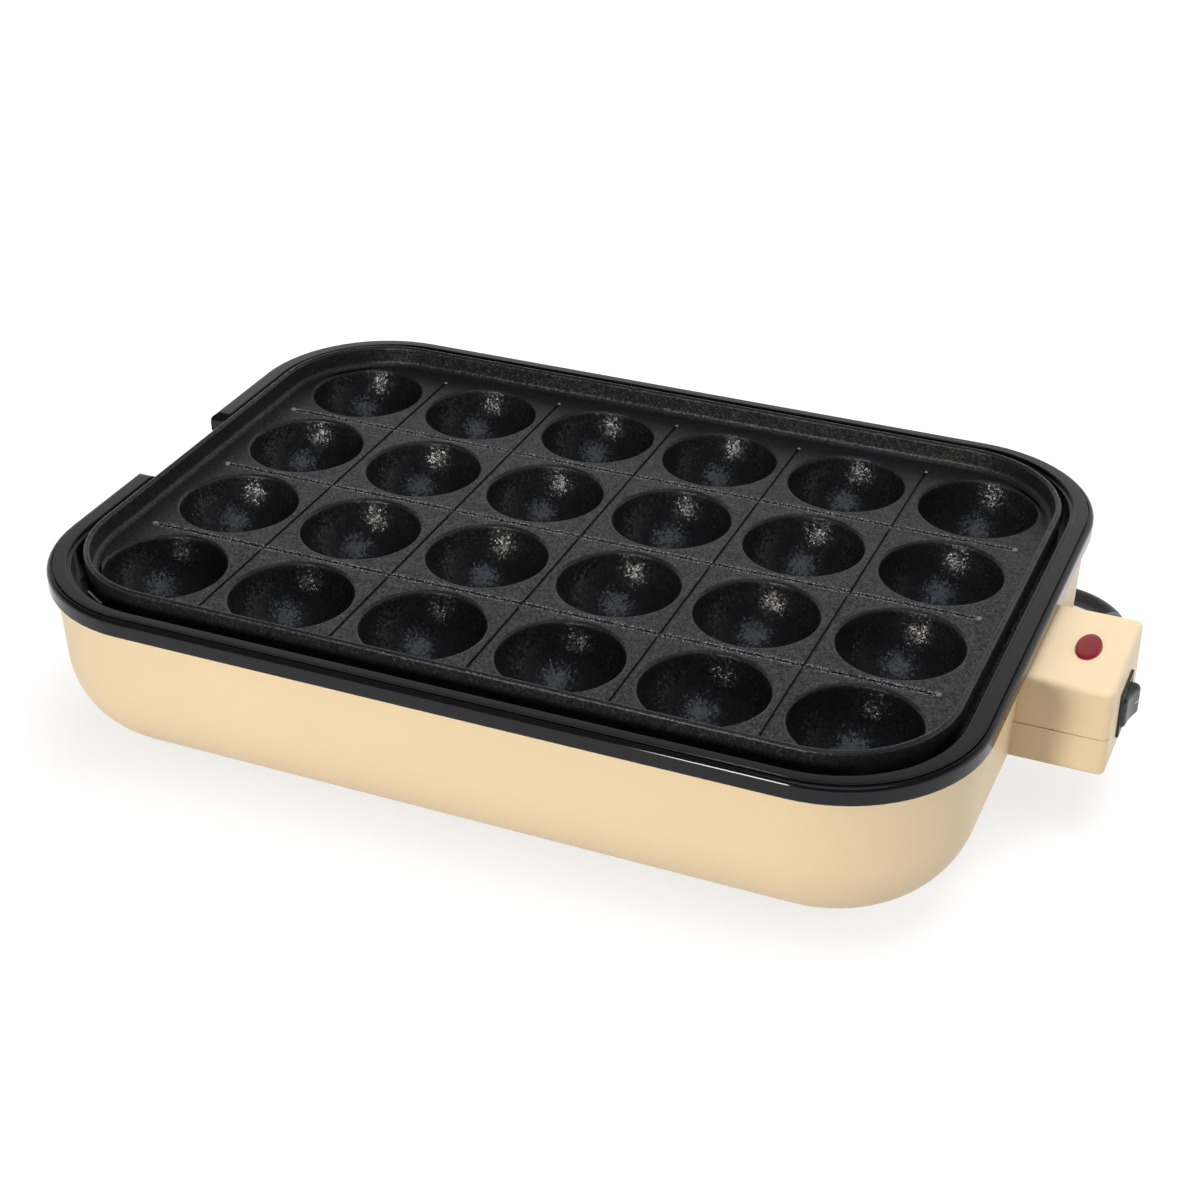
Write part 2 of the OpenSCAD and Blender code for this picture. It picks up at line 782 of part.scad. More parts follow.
module element_saddles() {
    low = tray_top_z;
    clear = element_r + slip;
    color(steel) at_origin() {
        for (x = [-2 * pitch, 0, 2 * pitch]) {
            for (s = [-1, 1]) {
                translate([x, s * run_y, 0]) {
                    translate([-4, -8, low]) cube([8, 16, sheet_t]);
                    translate([-4, -sheet_t / 2, low]) cube([8, sheet_t, element_z - clear - low - sheet_t / 2]);
                    translate([-4, 0, element_z]) difference() {
                        bar_x(0, 8, clear + sheet_t);
                        bar_x(-1, 9, clear);
                        translate([-1, -10, element_r * 0.3]) cube([10, 20, 10]);
                    }
                }
            }
        }
    }
}

// ---------- Thermostat and fuse ----------

thermostat_r = 8;
thermostat_h = 7;
thermostat_top = floor_z - floor_t - 0.4;

module thermostat() {
    color([0.35, 0.2, 0.12]) at_origin() {
        translate([0, 0, thermostat_top - thermostat_h]) cylinder(h = thermostat_h - 2, r = thermostat_r);
        translate([0, 0, thermostat_top - 2]) cylinder(h = 2, r = thermostat_r - 1);
        for (s = [-1, 1]) {
            translate([s * 4, 0, thermostat_top - thermostat_h - 2.4]) cube([0.8, 4.8, 5], center = true);
        }
    }
}

module thermostat_bracket() {
    top = thermostat_top - thermostat_h;
    color(steel) at_origin() {
        translate([-6, 0, 0]) {
            translate([0, -15, tray_top_z]) cube([12, 6, sheet_t]);
            translate([0, -10 + 1, tray_top_z]) cube([12, sheet_t, top - tray_top_z]);
            translate([0, -9, top - sheet_t]) cube([12, 5.6, sheet_t]);
        }
    }
}

fuse_x = pitch;
fuse_z = tray_top_z + 3.2;

module thermal_fuse() {
    color([0.9, 0.9, 0.86]) at_origin() {
        translate([0, 6, fuse_z]) {
            bar_x(fuse_x - 6, fuse_x + 6, 2);
            bar_x(fuse_x - 9, fuse_x + 9, 0.5);
        }
    }
}

module fuse_clip() {
    color(steel) at_origin() {
        translate([fuse_x - 3, 6, fuse_z]) difference() {
            bar_x(0, 6, 2 + slip + sheet_t);
            bar_x(-1, 7, 2 + slip);
            translate([-1, -5, 1]) cube([8, 10, 5]);
        }
        translate([fuse_x - 3, 6 - 7, tray_top_z]) cube([6, 6, sheet_t]);
        translate([fuse_x - 3, 6 - 3.2, tray_top_z]) cube([6, 3.2, sheet_t]);
    }
}

module lead_grommet() {
    x = tray_out[0];
    color([0.7, 0.25, 0.2]) at_origin() {
        translate([0, grommet_y, grommet_z]) difference() {
            union() {
                bar_x(x - tray_t - slip, x + slip, grommet_r - slip);
                bar_x(x - tray_t - 1.6, x - tray_t - slip, grommet_r + 1);
                bar_x(x + slip, x + 1.6, grommet_r + 1);
            }
            bar_x(x - 5, x + 5, grommet_r - 1.4);
        }
    }
}

// ---------- Control box ----------

// The body's outer face beside the box, as a block to cut the box with
module body_side() {
    cx = body_out[0] - bottom_set;
    cz = body_z + bottom_r;
    far = box_x0 - 10;
    curve = [for (a = [18:-3:0]) [cx + bottom_r * cos(draft + a), cz - bottom_r * sin(draft + a)]];
    translate([0, box_half + 5, 0]) rotate([90, 0, 0]) linear_extrude(box_w + 10)
        polygon(concat([[far, curve[0][1]]], curve, [[body_out[0], ring_bottom_z], [far, ring_bottom_z]]));
}

module box_plan(inset) {
    r = max(box_edge_r - inset, 0.4);
    half = box_half - inset;
    x1 = box_x1 - inset;
    x0 = box_x0;
    translate([x0, -half]) square([x1 - r - x0, 2 * half]);
    translate([x0, -half + r]) square([x1 - x0, 2 * (half - r)]);
    for (s = [-1, 1]) {
        translate([x1 - r, s * (half - r)]) circle(r);
    }
}

// Outer edge with a small bevel at its top or bottom face
module box_shell(z0, z1, bevel_z) {
    bevel = 0.6;
    lo = bevel_z < (z0 + z1) / 2 ? z0 + bevel : z0;
    hi = bevel_z < (z0 + z1) / 2 ? z1 : z1 - bevel;
    translate([0, 0, lo]) linear_extrude(hi - lo) box_plan(0);
    translate([0, 0, z0]) linear_extrude(z1 - z0) box_plan(bevel / 2);
}

module box_boss(z0, z1) {
    for (s = [-1, 1]) {
        translate([boss_x, s * boss_y, z0]) cylinder(h = z1 - z0, r = boss_r);
    }
}

module switch_hole() {
    translate([box_x1 - box_wall - 5, -switch_half_y - slip, seam_z - switch_half_z - slip])
        cube([box_wall + 10, 2 * (switch_half_y + slip), 2 * (switch_half_z + slip)]);
}

module box_lower() {
    tongue_half = box_half - box_wall - 4;
    color(cream) at_origin() {
        difference() {
            union() {
                difference() {
                    box_shell(box_z, seam_z, box_z);
                    translate([0, 0, box_z + box_wall]) linear_extrude(box_h) box_plan(box_wall);
                }
                box_boss(box_z + 0.5, seam_z);
                at_clamp_screws() translate([0, 0, box_z + 0.5])
                    cylinder(h = exit_z - box_z + cord_r - 0.5, r = 2.1);
                translate([body_out[0] + 0.2, -tongue_half, box_z + 1])
                    cube([2.8, 2 * tongue_half, tongue_z - box_z]);
            }
            body_side();
            switch_hole();
            for (s = [-1, 1]) {
                translate([boss_x, s * boss_y, box_z - 1]) {
                    cylinder(h = 3, r = 2.9);
                    cylinder(h = 30, r = screw_r + 0.25);
                }
            }
            translate([exit_x, 0, exit_z]) bar_y(box_half - box_wall - 1, box_half + 1, 4.3 + slip);
            at_clamp_screws() translate([0, 0, exit_z - 5]) cylinder(h = 20, r = 1.2 + slip);
        }
        difference() {
            translate([tray_out[0] + 0.4, -tongue_half, tongue_z])
                cube([body_out[0] - tray_out[0] + 2, 2 * tongue_half, tongue_t]);
            for (s = [-1, 1]) {
                translate([mount_x, s * mount_y, tongue_z - 1]) cylinder(h = 5, r = screw_r + 0.25);
            }
        }
    }
}

module at_clamp_screws() {
    for (s = [-1, 1]) {
        translate([exit_x + s * clamp_reach, clamp_y, 0]) children();
    }
}

// Oval made of two wide arcs closed by two small ones, all tangent
module lamp_oval(grow) {
    a = lamp_wid / 2;
    small_r = lamp_wid * 0.31;
    small_y = lamp_len / 2 - small_r;
    wide_r = (a * a + small_y * small_y - small_r * small_r) / (2 * (a - small_r));
    wide_x = wide_r - a;
    cut_y = (wide_r + grow) * small_y / (wide_r - small_r);
    translate([lamp_x, 0]) {
        intersection() {
            translate([-wide_x, 0]) circle(wide_r + grow, $fn = 192);
            translate([wide_x, 0]) circle(wide_r + grow, $fn = 192);
            square([2 * a + 2, 2 * cut_y], center = true);
        }
        for (s = [-1, 1]) {
            translate([0, s * small_y]) circle(small_r + grow);
        }
    }
}

module box_upper() {
    color(cream) at_origin() {
        difference() {
            union() {
                difference() {
                    box_shell(seam_z, box_top_z, box_top_z);
                    translate([0, 0, seam_z - 1])
                        linear_extrude(box_top_z - box_wall - seam_z + 1) box_plan(box_wall);
                }
                box_boss(seam_z, box_top_z - 0.5);
                for (s = [-1, 1]) {
                    translate([lamp_x, s * clip_pin_y, clip_z - 1])
                        cylinder(h = box_top_z - clip_z, r = 1.2);
                }
            }
            body_side();
            switch_hole();
            for (s = [-1, 1]) {
                translate([boss_x, s * boss_y, seam_z - 1]) cylinder(h = 9, r = screw_r + slip);
            }
            translate([0, 0, box_top_z - 4]) linear_extrude(8) lamp_oval(slip);
        }
    }
}

module box_screws() {
    color(steel) at_origin() {
        for (s = [-1, 1]) {
            translate([boss_x, s * boss_y, box_z + 2]) rotate([180, 0, 0]) pan_screw(0, -(seam_z - box_z + 4), 2.8, 1.8);
        }
    }
}

module box_mount_screws() {
    color(steel) at_origin() {
        for (s = [-1, 1]) {
            translate([mount_x, s * mount_y, 0]) pan_screw(tongue_z + tongue_t, tongue_z - 8, 3, 1.8);
        }
    }
}

// ---------- Pilot lamp ----------

clip_z = box_top_z - 8;
clip_t = 1;
clip_pin_y = 10;
bulb_r = 1.6;

module lamp_lens() {
    bevel = 0.5;
    color([0.62, 0.05, 0.08]) at_origin() {
        difference() {
            union() {
                translate([0, 0, clip_z + clip_t]) linear_extrude(box_top_z + lamp_proud - bevel - clip_z - clip_t) lamp_oval(0);
                translate([0, 0, box_top_z]) linear_extrude(lamp_proud) lamp_oval(-bevel);
            }
            translate([0, 0, clip_z]) linear_extrude(box_top_z - 0.4 - clip_z) lamp_oval(-1.2);
        }
    }
}

module neon_lamp() {
    z = clip_z + clip_t + bulb_r;
    color([0.95, 0.6, 0.45]) at_origin() {
        translate([lamp_x, 0, z]) {
            bar_y(-3.6, 2.2, bulb_r);
            translate([0, 2.2, 0]) sphere(bulb_r);
        }
    }
}

module lamp_clip() {
    color([0.9, 0.9, 0.88]) at_origin() {
        difference() {
            translate([lamp_x - 5, -12, clip_z]) cube([10, 24, clip_t]);
            for (s = [-1, 1]) {
                translate([lamp_x, s * clip_pin_y, clip_z - 1]) cylinder(h = 3, r = 1.2 + slip);
            }
        }
    }
}

module lamp_resistor() {
    color([0.75, 0.62, 0.45]) at_origin() {
        translate([lamp_x - 7.5, 0, clip_z + 1.6]) {
            bar_y(-3.4, 3.4, 1.3);
            bar_y(-7, 7, 0.35);
        }
    }
}

// ---------- Switch ----------

module switch_housing() {
    x0 = box_x1 - switch_depth;
    x1 = box_x1 + switch_flange_t;
    open_y = switch_half_y - switch_wall;
    open_z = rocker_half_z + 0.1;
    color(black) at_origin() translate([0, 0, seam_z]) {
        difference() {
            union() {
                translate([x0, -switch_half_y, -switch_half_z])
                    cube([x1 - x0, 2 * switch_half_y, 2 * switch_half_z]);
                translate([box_x1, -flange_half_y, -flange_half_z])
                    cube([switch_flange_t, 2 * flange_half_y, 2 * flange_half_z]);
            }
            translate([x0 + 1.2, -open_y, -open_z]) cube([switch_depth + 5, 2 * open_y, 2 * open_z]);
            translate([pivot_x, 0, -switch_half_z - 1])
                cylinder(h = 2 * switch_half_z + 2, r = pivot_r + slip);
            for (s = [-1, 1]) {
                translate([x0, s * contact_y, 0])
                    cube([5, terminal_t + 2 * slip, terminal_w + 2 * slip], center = true);
            }
        }
    }
}

terminal_t = 0.8;
terminal_w = 3.6;
terminal_x = box_x1 - switch_depth - 7;

module switch_terminals() {
    len = 13;
    color([0.8, 0.62, 0.3]) at_origin() translate([terminal_x + len / 2, 0, seam_z]) {
        for (s = [-1, 1]) {
            translate([0, s * contact_y, 0]) cube([len, terminal_t, terminal_w], center = true);
        }
    }
}

leg_len = 10.6;
leg_t = 1.6;
leg_half_z = 1.5;

// Turns its children with the rocker, about the pivot
module on_rocker() {
    translate([pivot_x, 0, seam_z]) rotate([0, 0, -rocker_rest]) children();
}

module contact_blade() {
    blade_t = 0.4;
    half = leg_t / 2 + slip + blade_t;
    color([0.85, 0.6, 0.35]) at_origin() on_rocker() {
        difference() {
            translate([-leg_len - 0.8, -half, -leg_half_z + 0.2]) cube([6, 2 * half, 2 * leg_half_z - 0.4]);
            translate([-leg_len - slip, blade_t - half, -5]) cube([10, 2 * (half - blade_t), 10]);
        }
    }
}

// The rocker rests with its +Y nose raised
module rocker() {
    dish = 0.25;
    back = -1.4;
    color([0.09, 0.09, 0.1]) at_origin() on_rocker() {
        translate([0, 0, -rocker_half_z]) linear_extrude(2 * rocker_half_z) {
            polygon([[back, -rocker_half_y + 0.9], [rocker_face - 0.5, -rocker_half_y],
                [rocker_face, -rocker_half_y + 0.5], [rocker_face - dish, 0],
                [rocker_face, rocker_half_y - 0.5], [rocker_face - 0.5, rocker_half_y],
                [back, rocker_half_y - 0.9]]);
        }
        translate([0, 0, -switch_half_z + 0.2]) cylinder(h = 2 * switch_half_z - 0.4, r = pivot_r);
        translate([-leg_len, -leg_t / 2, -leg_half_z]) cube([leg_len, leg_t, 2 * leg_half_z]);
    }
}

// ---------- Cord entry ----------

clamp_y = 13.4;
clamp_reach = 5.4;
clamp_t = 2;
jacket_y = clamp_y - 2.8;

module cord_clamp() {
    reach = clamp_reach + 2.2;
    color([0.85, 0.84, 0.8]) at_origin() difference() {
        translate([exit_x - reach, clamp_y - 2.6, exit_z + cord_r]) cube([2 * reach, 5.2, clamp_t]);
        at_clamp_screws() translate([0, 0, exit_z]) cylinder(h = 10, r = 1.4);
    }
}

module clamp_screws() {
    color(steel) at_origin() {
        at_clamp_screws() {
            translate([0, 0, exit_z + cord_r + clamp_t - 8]) cylinder(h = 8, r = 1.2);
            translate([0, 0, exit_z + cord_r + clamp_t]) cylinder(h = 1.4, r = 2.1);
        }
    }
}

module strain_relief() {
    y0 = box_half - box_wall - 1.8;
    y1 = box_half - box_wall - slip;
    y2 = box_half + slip;
    rib = 1.1;
    gap = 0.9;
    color(black) at_origin() translate([exit_x, 0, exit_z]) {
        rotate([-90, 0, 0]) rotate_extrude() difference() {
            union() {
                translate([0, y0]) square([5.4, y1 - y0]);
                translate([0, y0]) square([4.3, y2 - y0 + 1]);
                translate([0, y2]) square([sleeve_r0 + 0.6, 1.6]);
                polygon([[0, y2], [sleeve_r0, y2], [sleeve_r1, exit_y], [0, exit_y]]);
            }
            translate([-1, y0 - 1]) square([1 + cord_r + slip, sleeve_len + 20]);
            for (k = [0:4]) {
                y = y2 + 3.4 + k * 3.6;
                translate([sleeve_r0 - 0.15 * k + 0.3 - rib, y]) square([rib + 3, gap]);
            }
        }
    }
}

module cord_entry() {
    color(black) at_origin() translate([exit_x, 0, exit_z]) bar_y(jacket_y, exit_y, cord_r);
}

// ---------- Internal leads ----------

lead_r = 1;
core_gap = 1.4;
pin_end_x = cold_end_x + seal_len + pin_len;
crimp_r = 2.2;
crimp_x = pin_end_x + 1.8;
door_x = body_out[0];
bite = 0.3;

module route_tube(points, r, n, steps) {
    tube(smooth_route(points, steps), r, n);
}

module lead_live() {
    color([0.1, 0.1, 0.1]) at_origin() route_tube([
        [exit_x - core_gap, jacket_y, exit_z], [exit_x - core_gap, jacket_y - 0.5, exit_z],
        [exit_x - core_gap, jacket_y - 1, exit_z], [exit_x - 2, 8.4, exit_z - 2.2], [door_x + 8.6, 7, exit_z - 2.9],
        [door_x + 4, 5.6, exit_z - 1.9], [door_x + 1, 4.8, exit_z + 1.7], [door_x, contact_y, seam_z - 1],
        [terminal_x - 1.6, contact_y, seam_z], [terminal_x - 1, contact_y, seam_z],
        [terminal_x, contact_y, seam_z]], lead_r, 8, 4);
}

module lead_neutral() {
    color([0.92, 0.92, 0.9]) at_origin() route_tube([
        [exit_x + core_gap, jacket_y, exit_z], [exit_x + core_gap, jacket_y - 0.5, exit_z],
        [exit_x + core_gap, jacket_y - 1, exit_z], [exit_x + core_gap, 8.4, exit_z - 2.2],
        [exit_x + 1, 5.6, exit_z - 3.1], [exit_x, -3, exit_z - 3.3], [door_x + 11, -10, exit_z - 2.9],
        [door_x + 10, 1 - cold_y, exit_z + 0.1],
        [crimp_x - 2, -cold_y, element_z - 5.6], [crimp_x, -cold_y, element_z - 3.6],
        [crimp_x, -cold_y, element_z - crimp_r - 0.6], [crimp_x, -cold_y, element_z - crimp_r + bite]],
        lead_r, 8, 4);
}

module lead_heater() {
    color([0.9, 0.88, 0.8]) at_origin() route_tube([
        [terminal_x, -contact_y, seam_z], [terminal_x - 1, -contact_y, seam_z],
        [terminal_x - 1.8, -contact_y, seam_z], [door_x - 3, -3, grommet_z + 0.4], [tray_out[0] + 2, -1.8, grommet_z],
        [tray_out[0] - 3, -1.8, grommet_z], [tray_out[0] - 9, -2, grommet_z - 1.9],
        [tray_out[0] - 19, -2, grommet_z - 5.5], [tray_out[0] - 41, -2, tray_top_z + 3],
        [fuse_x + 30, 1, tray_top_z + 3], [fuse_x + 15, 5.6, fuse_z], [fuse_x + 12, 6, fuse_z],
        [fuse_x + 10.4, 6, fuse_z], [fuse_x + 9, 6, fuse_z]], lead_r, 8, 4);
}

module lead_thermostat() {
    tab_z = thermostat_top - thermostat_h - 4.9;
    color([0.85, 0.82, 0.75]) at_origin() {
        route_tube([[fuse_x - 9, 6, fuse_z], [fuse_x - 10.4, 6, fuse_z], [fuse_x - 12, 6, fuse_z],
            [fuse_x - 24, 4.6, fuse_z + 0.6], [10, 1, tab_z - 8.2], [4.6, 0, tab_z - 3.2], [4, 0, tab_z - 1], [4, 0, tab_z - 0.5],
            [4, 0, tab_z]], lead_r, 8, 4);
        route_tube([[-4, 0, tab_z], [-4, 0, tab_z - 0.5], [-4, 0, tab_z - 1], [-4.6, 2, tab_z - 4.2], [-3, 8, tab_z - 9.2],
            [6, 13, tray_top_z + 2.4], [fuse_x - 16, 14, tray_top_z + 2.4], [fuse_x + 24, 10, tray_top_z + 3],
            [tray_out[0] - 41, 4, tray_top_z + 3], [tray_out[0] - 19, 2, grommet_z - 5.5],
            [tray_out[0] - 9, 2, grommet_z - 1.9], [tray_out[0] - 3, 1.8, grommet_z],
            [tray_out[0] + 2, 1.8, grommet_z], [door_x - 4, 5, grommet_z + 1.5],
            [door_x + 1, 8.6, element_z - 1.6], [door_x + 6, 9.8, element_z - 0.2],
            [crimp_x - 2.4, 10, element_z], [crimp_x, 11, element_z], [crimp_x, 12.2, element_z],
            [crimp_x, cold_y - crimp_r + bite, element_z]], lead_r, 8, 4);
    }
}

module lamp_leads() {
    z = clip_z + 1.6;
    color([0.85, 0.2, 0.15]) at_origin() {
        for (s = [-1, 1]) {
            route_tube([[lamp_x - 7.5, s * 7, z], [lamp_x - 7.5, s * 7.8, z], [lamp_x - 7.5, s * 8.4, z],
                [lamp_x - 8, s * 12, z - 0.6], [lamp_x - 5.6, s * cold_y, z - 1.4],
                [crimp_x - 1.6, s * cold_y, z - 1.7], [crimp_x, s * cold_y, element_z + crimp_r + 0.7],
                [crimp_x, s * cold_y, element_z + crimp_r + 0.4],
                [crimp_x, s * cold_y, element_z + crimp_r - bite]], 0.6, 6, 4);
        }
    }
}

// Crimped sleeves that join the leads to the cold ends
module crimp_sleeves() {
    color([0.8, 0.8, 0.82]) at_origin() {
        for (s = [-1, 1]) {
            translate([0, s * cold_y, element_z]) difference() {
                bar_x(pin_end_x - 4, pin_end_x + 4, crimp_r);
                bar_x(pin_end_x - 5, pin_end_x, 1.2 + slip);
            }
        }
    }
}

// ---------- Free cord, coil and plug ----------

module cord_lead() {
    color(black) at_origin() route_tube(lead_points, cord_r, 8, 3);
}

total_turns = 2 * coil_turns;
coil_steps = 24;
function coil_angle(t) = -90 - 360 * t;
function coil_radius(t) = coil_out_r - coil_step * (coil_turns - abs(t - coil_turns));
function coil_rise(t) = let (u = min(max((t - coil_turns + 0.25) / 0.5, 0), 1)) coil_layer * u * u * (3 - 2 * u);
function coil_point(t) = [
    coil_x + coil_radius(t) * cos(coil_angle(t)),
    coil_y + coil_radius(t) * sin(coil_angle(t)),
    coil_z + coil_rise(t)];
coil_turns_route = [for (i = [0:total_turns * coil_steps]) coil_point(i / coil_steps)];
coil_route = concat([[coil_x + cord_d, coil_near_y, coil_z]], coil_turns_route,
    [[coil_x - cord_d, coil_near_y, coil_top_z]]);
self_gap = min([for (i = [0:len(coil_route) - 1]) for (j = [i + coil_steps / 2:1:len(coil_route) - 1])
    norm(coil_route[i] - coil_route[j])]) - cord_d;

module cord_coil() {
    color(black) at_origin() tube(coil_route, cord_r, 6);
}

module cord_tail() {
    color(black) at_origin() route_tube(tail_points, cord_r, 8, 3);
}

// Flat tie round the coiled turns on the side away from the body
tie_angle = 60;
tie_turn = (270 - tie_angle) / 360;

module cord_tie() {
    w = 7;
    slack = 0.6;
    inner = coil_radius(floor(coil_turns) + tie_turn) - cord_r - slack;
    outer = coil_radius(total_turns - 1 + tie_turn) + cord_r + slack;
    top = coil_top_z + cord_r + slack;
    color([0.15, 0.15, 0.16]) at_origin() translate([coil_x, coil_y, 0]) rotate([0, 0, tie_angle]) {
        translate([inner - tie_t, -w / 2, 0.05]) difference() {
            cube([outer - inner + 2 * tie_t, w, top + tie_t]);
            translate([tie_t, -1, tie_t]) cube([outer - inner, w + 2, top - tie_t]);
        }
    }
}

module plug_body() {
    color(black) at_origin() translate([plug_x, plug_y, plug_z]) {
        rotate([0, 90, 0]) rotate_extrude() polygon([[0, -6], [7.4, -6], [7.4, 0], [sleeve_r1 + 1.4, 4],
            [sleeve_r1, plug_neck], [0, plug_neck]]);
        translate([-plug_len, 0, 0]) rotate([0, 90, 0]) linear_extrude(plug_len - 2) intersection() {
            square([2 * plug_half_z, 2 * plug_half_y], center = true);
            circle(plug_half_y + 0.8);
        }
    }
}

module plug_blades() {
    blade_gap = 12.7;
    blade_len = 17.5;
    color([0.8, 0.66, 0.35]) at_origin() translate([plug_x - plug_len, plug_y, plug_z]) {
        for (s = [-1, 1]) {
            difference() {
                translate([-blade_len, s * blade_gap / 2 - 0.75, -3.15]) cube([blade_len, 1.5, 6.3]);
                translate([-blade_len + 5.5, s * blade_gap / 2, 0]) bar_y(-2, 2, 1.5);
            }
        }
    }
}

echo(least_gap_between_coil_turns = self_gap);

cooking_plate();
guard_ring();
outer_body();
rubber_feet();
heat_tray();
heat_shield();
tray_spacers();
tray_screws();
plate_locators();
heating_element();
element_seals();
element_pins();
element_saddles();
thermostat();
thermostat_bracket();
thermal_fuse();
fuse_clip();
lead_grommet();
box_lower();
box_upper();
box_screws();
box_mount_screws();
lamp_lens();
neon_lamp();
lamp_clip();
lamp_resistor();
switch_housing();
switch_terminals();
contact_blade();
rocker();
cord_clamp();
clamp_screws();
strain_relief();
cord_entry();
lead_live();
lead_neutral();
lead_heater();
lead_thermostat();
lamp_leads();
crimp_sleeves();
cord_lead();
cord_coil();
cord_tail();
cord_tie();
plug_body();
plug_blades();
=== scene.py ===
import json
import math

import bmesh
import bpy
from mathutils import Matrix, Vector


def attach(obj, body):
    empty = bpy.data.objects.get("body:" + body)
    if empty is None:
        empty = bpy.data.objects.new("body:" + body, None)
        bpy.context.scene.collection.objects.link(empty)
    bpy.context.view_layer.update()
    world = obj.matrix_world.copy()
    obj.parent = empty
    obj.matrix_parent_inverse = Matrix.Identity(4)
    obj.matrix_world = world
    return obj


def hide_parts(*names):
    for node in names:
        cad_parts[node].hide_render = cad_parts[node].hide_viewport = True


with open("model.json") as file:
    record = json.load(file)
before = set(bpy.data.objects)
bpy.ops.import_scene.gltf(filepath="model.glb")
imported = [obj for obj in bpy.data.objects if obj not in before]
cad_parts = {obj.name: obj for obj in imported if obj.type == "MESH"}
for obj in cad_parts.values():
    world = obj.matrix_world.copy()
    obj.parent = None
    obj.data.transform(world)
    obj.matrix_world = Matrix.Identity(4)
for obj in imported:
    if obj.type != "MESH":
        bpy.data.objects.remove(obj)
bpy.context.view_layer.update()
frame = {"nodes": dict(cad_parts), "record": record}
nodes = frame["nodes"]

# ---------- Sizes in millimetres, as in the CAD, before its origin shift ----------

MM = 0.001
ORIGIN_X = 15.105
PITCH = 46
COLUMNS = 6
ROWS = 4
FLOOR_Z = 57.5
RIM_TOP_Z = 64.9
SKIRT_Z = 49.5
RING_TOP_Z = 62.1
RING_LOW_Z = 55.7
BOX_END_X = 179.8
BOX_TOP_Z = 55.3
BOX_LOW_Z = 25.3
SEAM_Z = 38.4
BOX_HALF = 22.8
CORD_D = 6.2

# Plans of rounded rectangles: half length, half width, corner radius
RIM = (143.6, 97.6, 38)
LEDGE = (145.9, 102.8, 39.9)
BAND_IN = (147.2, 104.1, 41.2)
SKIRT = (153.9, 109.6, 46.7)
BODY = (152.0, 107.0, 44.7)
RING_WALL = (148.9, 103.9, 41.6)


def at(x, y, z):
    """A point of the CAD's own layout, in metres in the shared frame."""
    return Vector(((x - ORIGIN_X) * MM, y * MM, z * MM))


def turned(angle, radius=1.0):
    """The two parts of a step of a radius in a direction given in degrees."""
    return radius * math.cos(math.radians(angle)), radius * math.sin(math.radians(angle))


# ---------- Camera: fitted to the photograph's outlines ----------

CAMERA_PLACE = (251.7, -580.9, 414.9)
CAMERA_LENS = 66.65
CAMERA_AZIMUTH = 22.856
CAMERA_ELEVATION = 31.087
CAMERA_ROLL = -0.0795


def add_camera():
    data = bpy.data.cameras.new("camera")
    data.lens = CAMERA_LENS
    data.sensor_width = 36
    data.clip_start = 0.01
    camera = bpy.data.objects.new("camera", data)
    bpy.context.scene.collection.objects.link(camera)
    azimuth = math.radians(CAMERA_AZIMUTH)
    elevation = math.radians(CAMERA_ELEVATION)
    roll = math.radians(CAMERA_ROLL)
    back = Vector((math.sin(azimuth) * math.cos(elevation),
                   -math.cos(azimuth) * math.cos(elevation),
                   math.sin(elevation)))
    right = Vector((math.cos(azimuth), math.sin(azimuth), 0))
    up = back.cross(right)
    side = math.cos(roll) * right + math.sin(roll) * up
    top = -math.sin(roll) * right + math.cos(roll) * up
    turn = Matrix((side, top, back)).transposed().to_4x4()
    camera.matrix_world = Matrix.Translation(at(*CAMERA_PLACE)) @ turn
    bpy.context.scene.camera = camera


add_camera()

# ---------- Cord route ----------

EXIT = (165, 42.8, 32.9)
LEAD_POINTS = [
    EXIT, (165, 45.3, 32.9), (165, 47.8, 32.9), (165, 54, 32), (165, 60, 30), (165, 66, 25.5),
    (165, 71.5, 18), (165, 77, 10.5), (165, 83, 6), (165, 89, 3.9), (164, 95, 3.2), (161, 103, 3.1),
    (155, 110.5, 3.1), (146.5, 115.5, 3.1), (137, 117, 3.1), (126, 117, 3.3), (115, 115.7, 3.7),
    (102.6, 115, 3.7), (96.4, 115, 3.7), (90.2, 115, 3.7)]
TAIL_POINTS = [
    (77.8, 115, 10.4), (74.7, 115, 10.4), (71.6, 115, 10.4), (62, 115.3, 10.2), (52, 115.7, 9.4),
    (42, 116, 8.6), (34.2, 116, 8.4), (31.1, 116, 8.4), (28, 116, 8.4)]
COIL_CENTRE = (84, 156.875)
COIL_TURNS = 5
COIL_STEPS = 24
COIL_STEP = 6.7
COIL_OUT_R = 41.875
COIL_LOW_Z = 3.7


def coil_point(turn):
    """A point of the coil after so many turns: inwards on the table, then outwards on the first layer."""
    layer = min(max((turn - COIL_TURNS / 2 + 0.25) / 0.5, 0), 1)
    radius = COIL_OUT_R - COIL_STEP * (COIL_TURNS / 2 - abs(turn - COIL_TURNS / 2))
    dx, dy = turned(-90 - 360 * turn, radius)
    return COIL_CENTRE[0] + dx, COIL_CENTRE[1] + dy, COIL_LOW_Z + COIL_STEP * layer * layer * (3 - 2 * layer)


COIL_POINTS = [coil_point(k / COIL_STEPS) for k in range(COIL_TURNS * COIL_STEPS + 1)]

# ---------- Meshes ----------

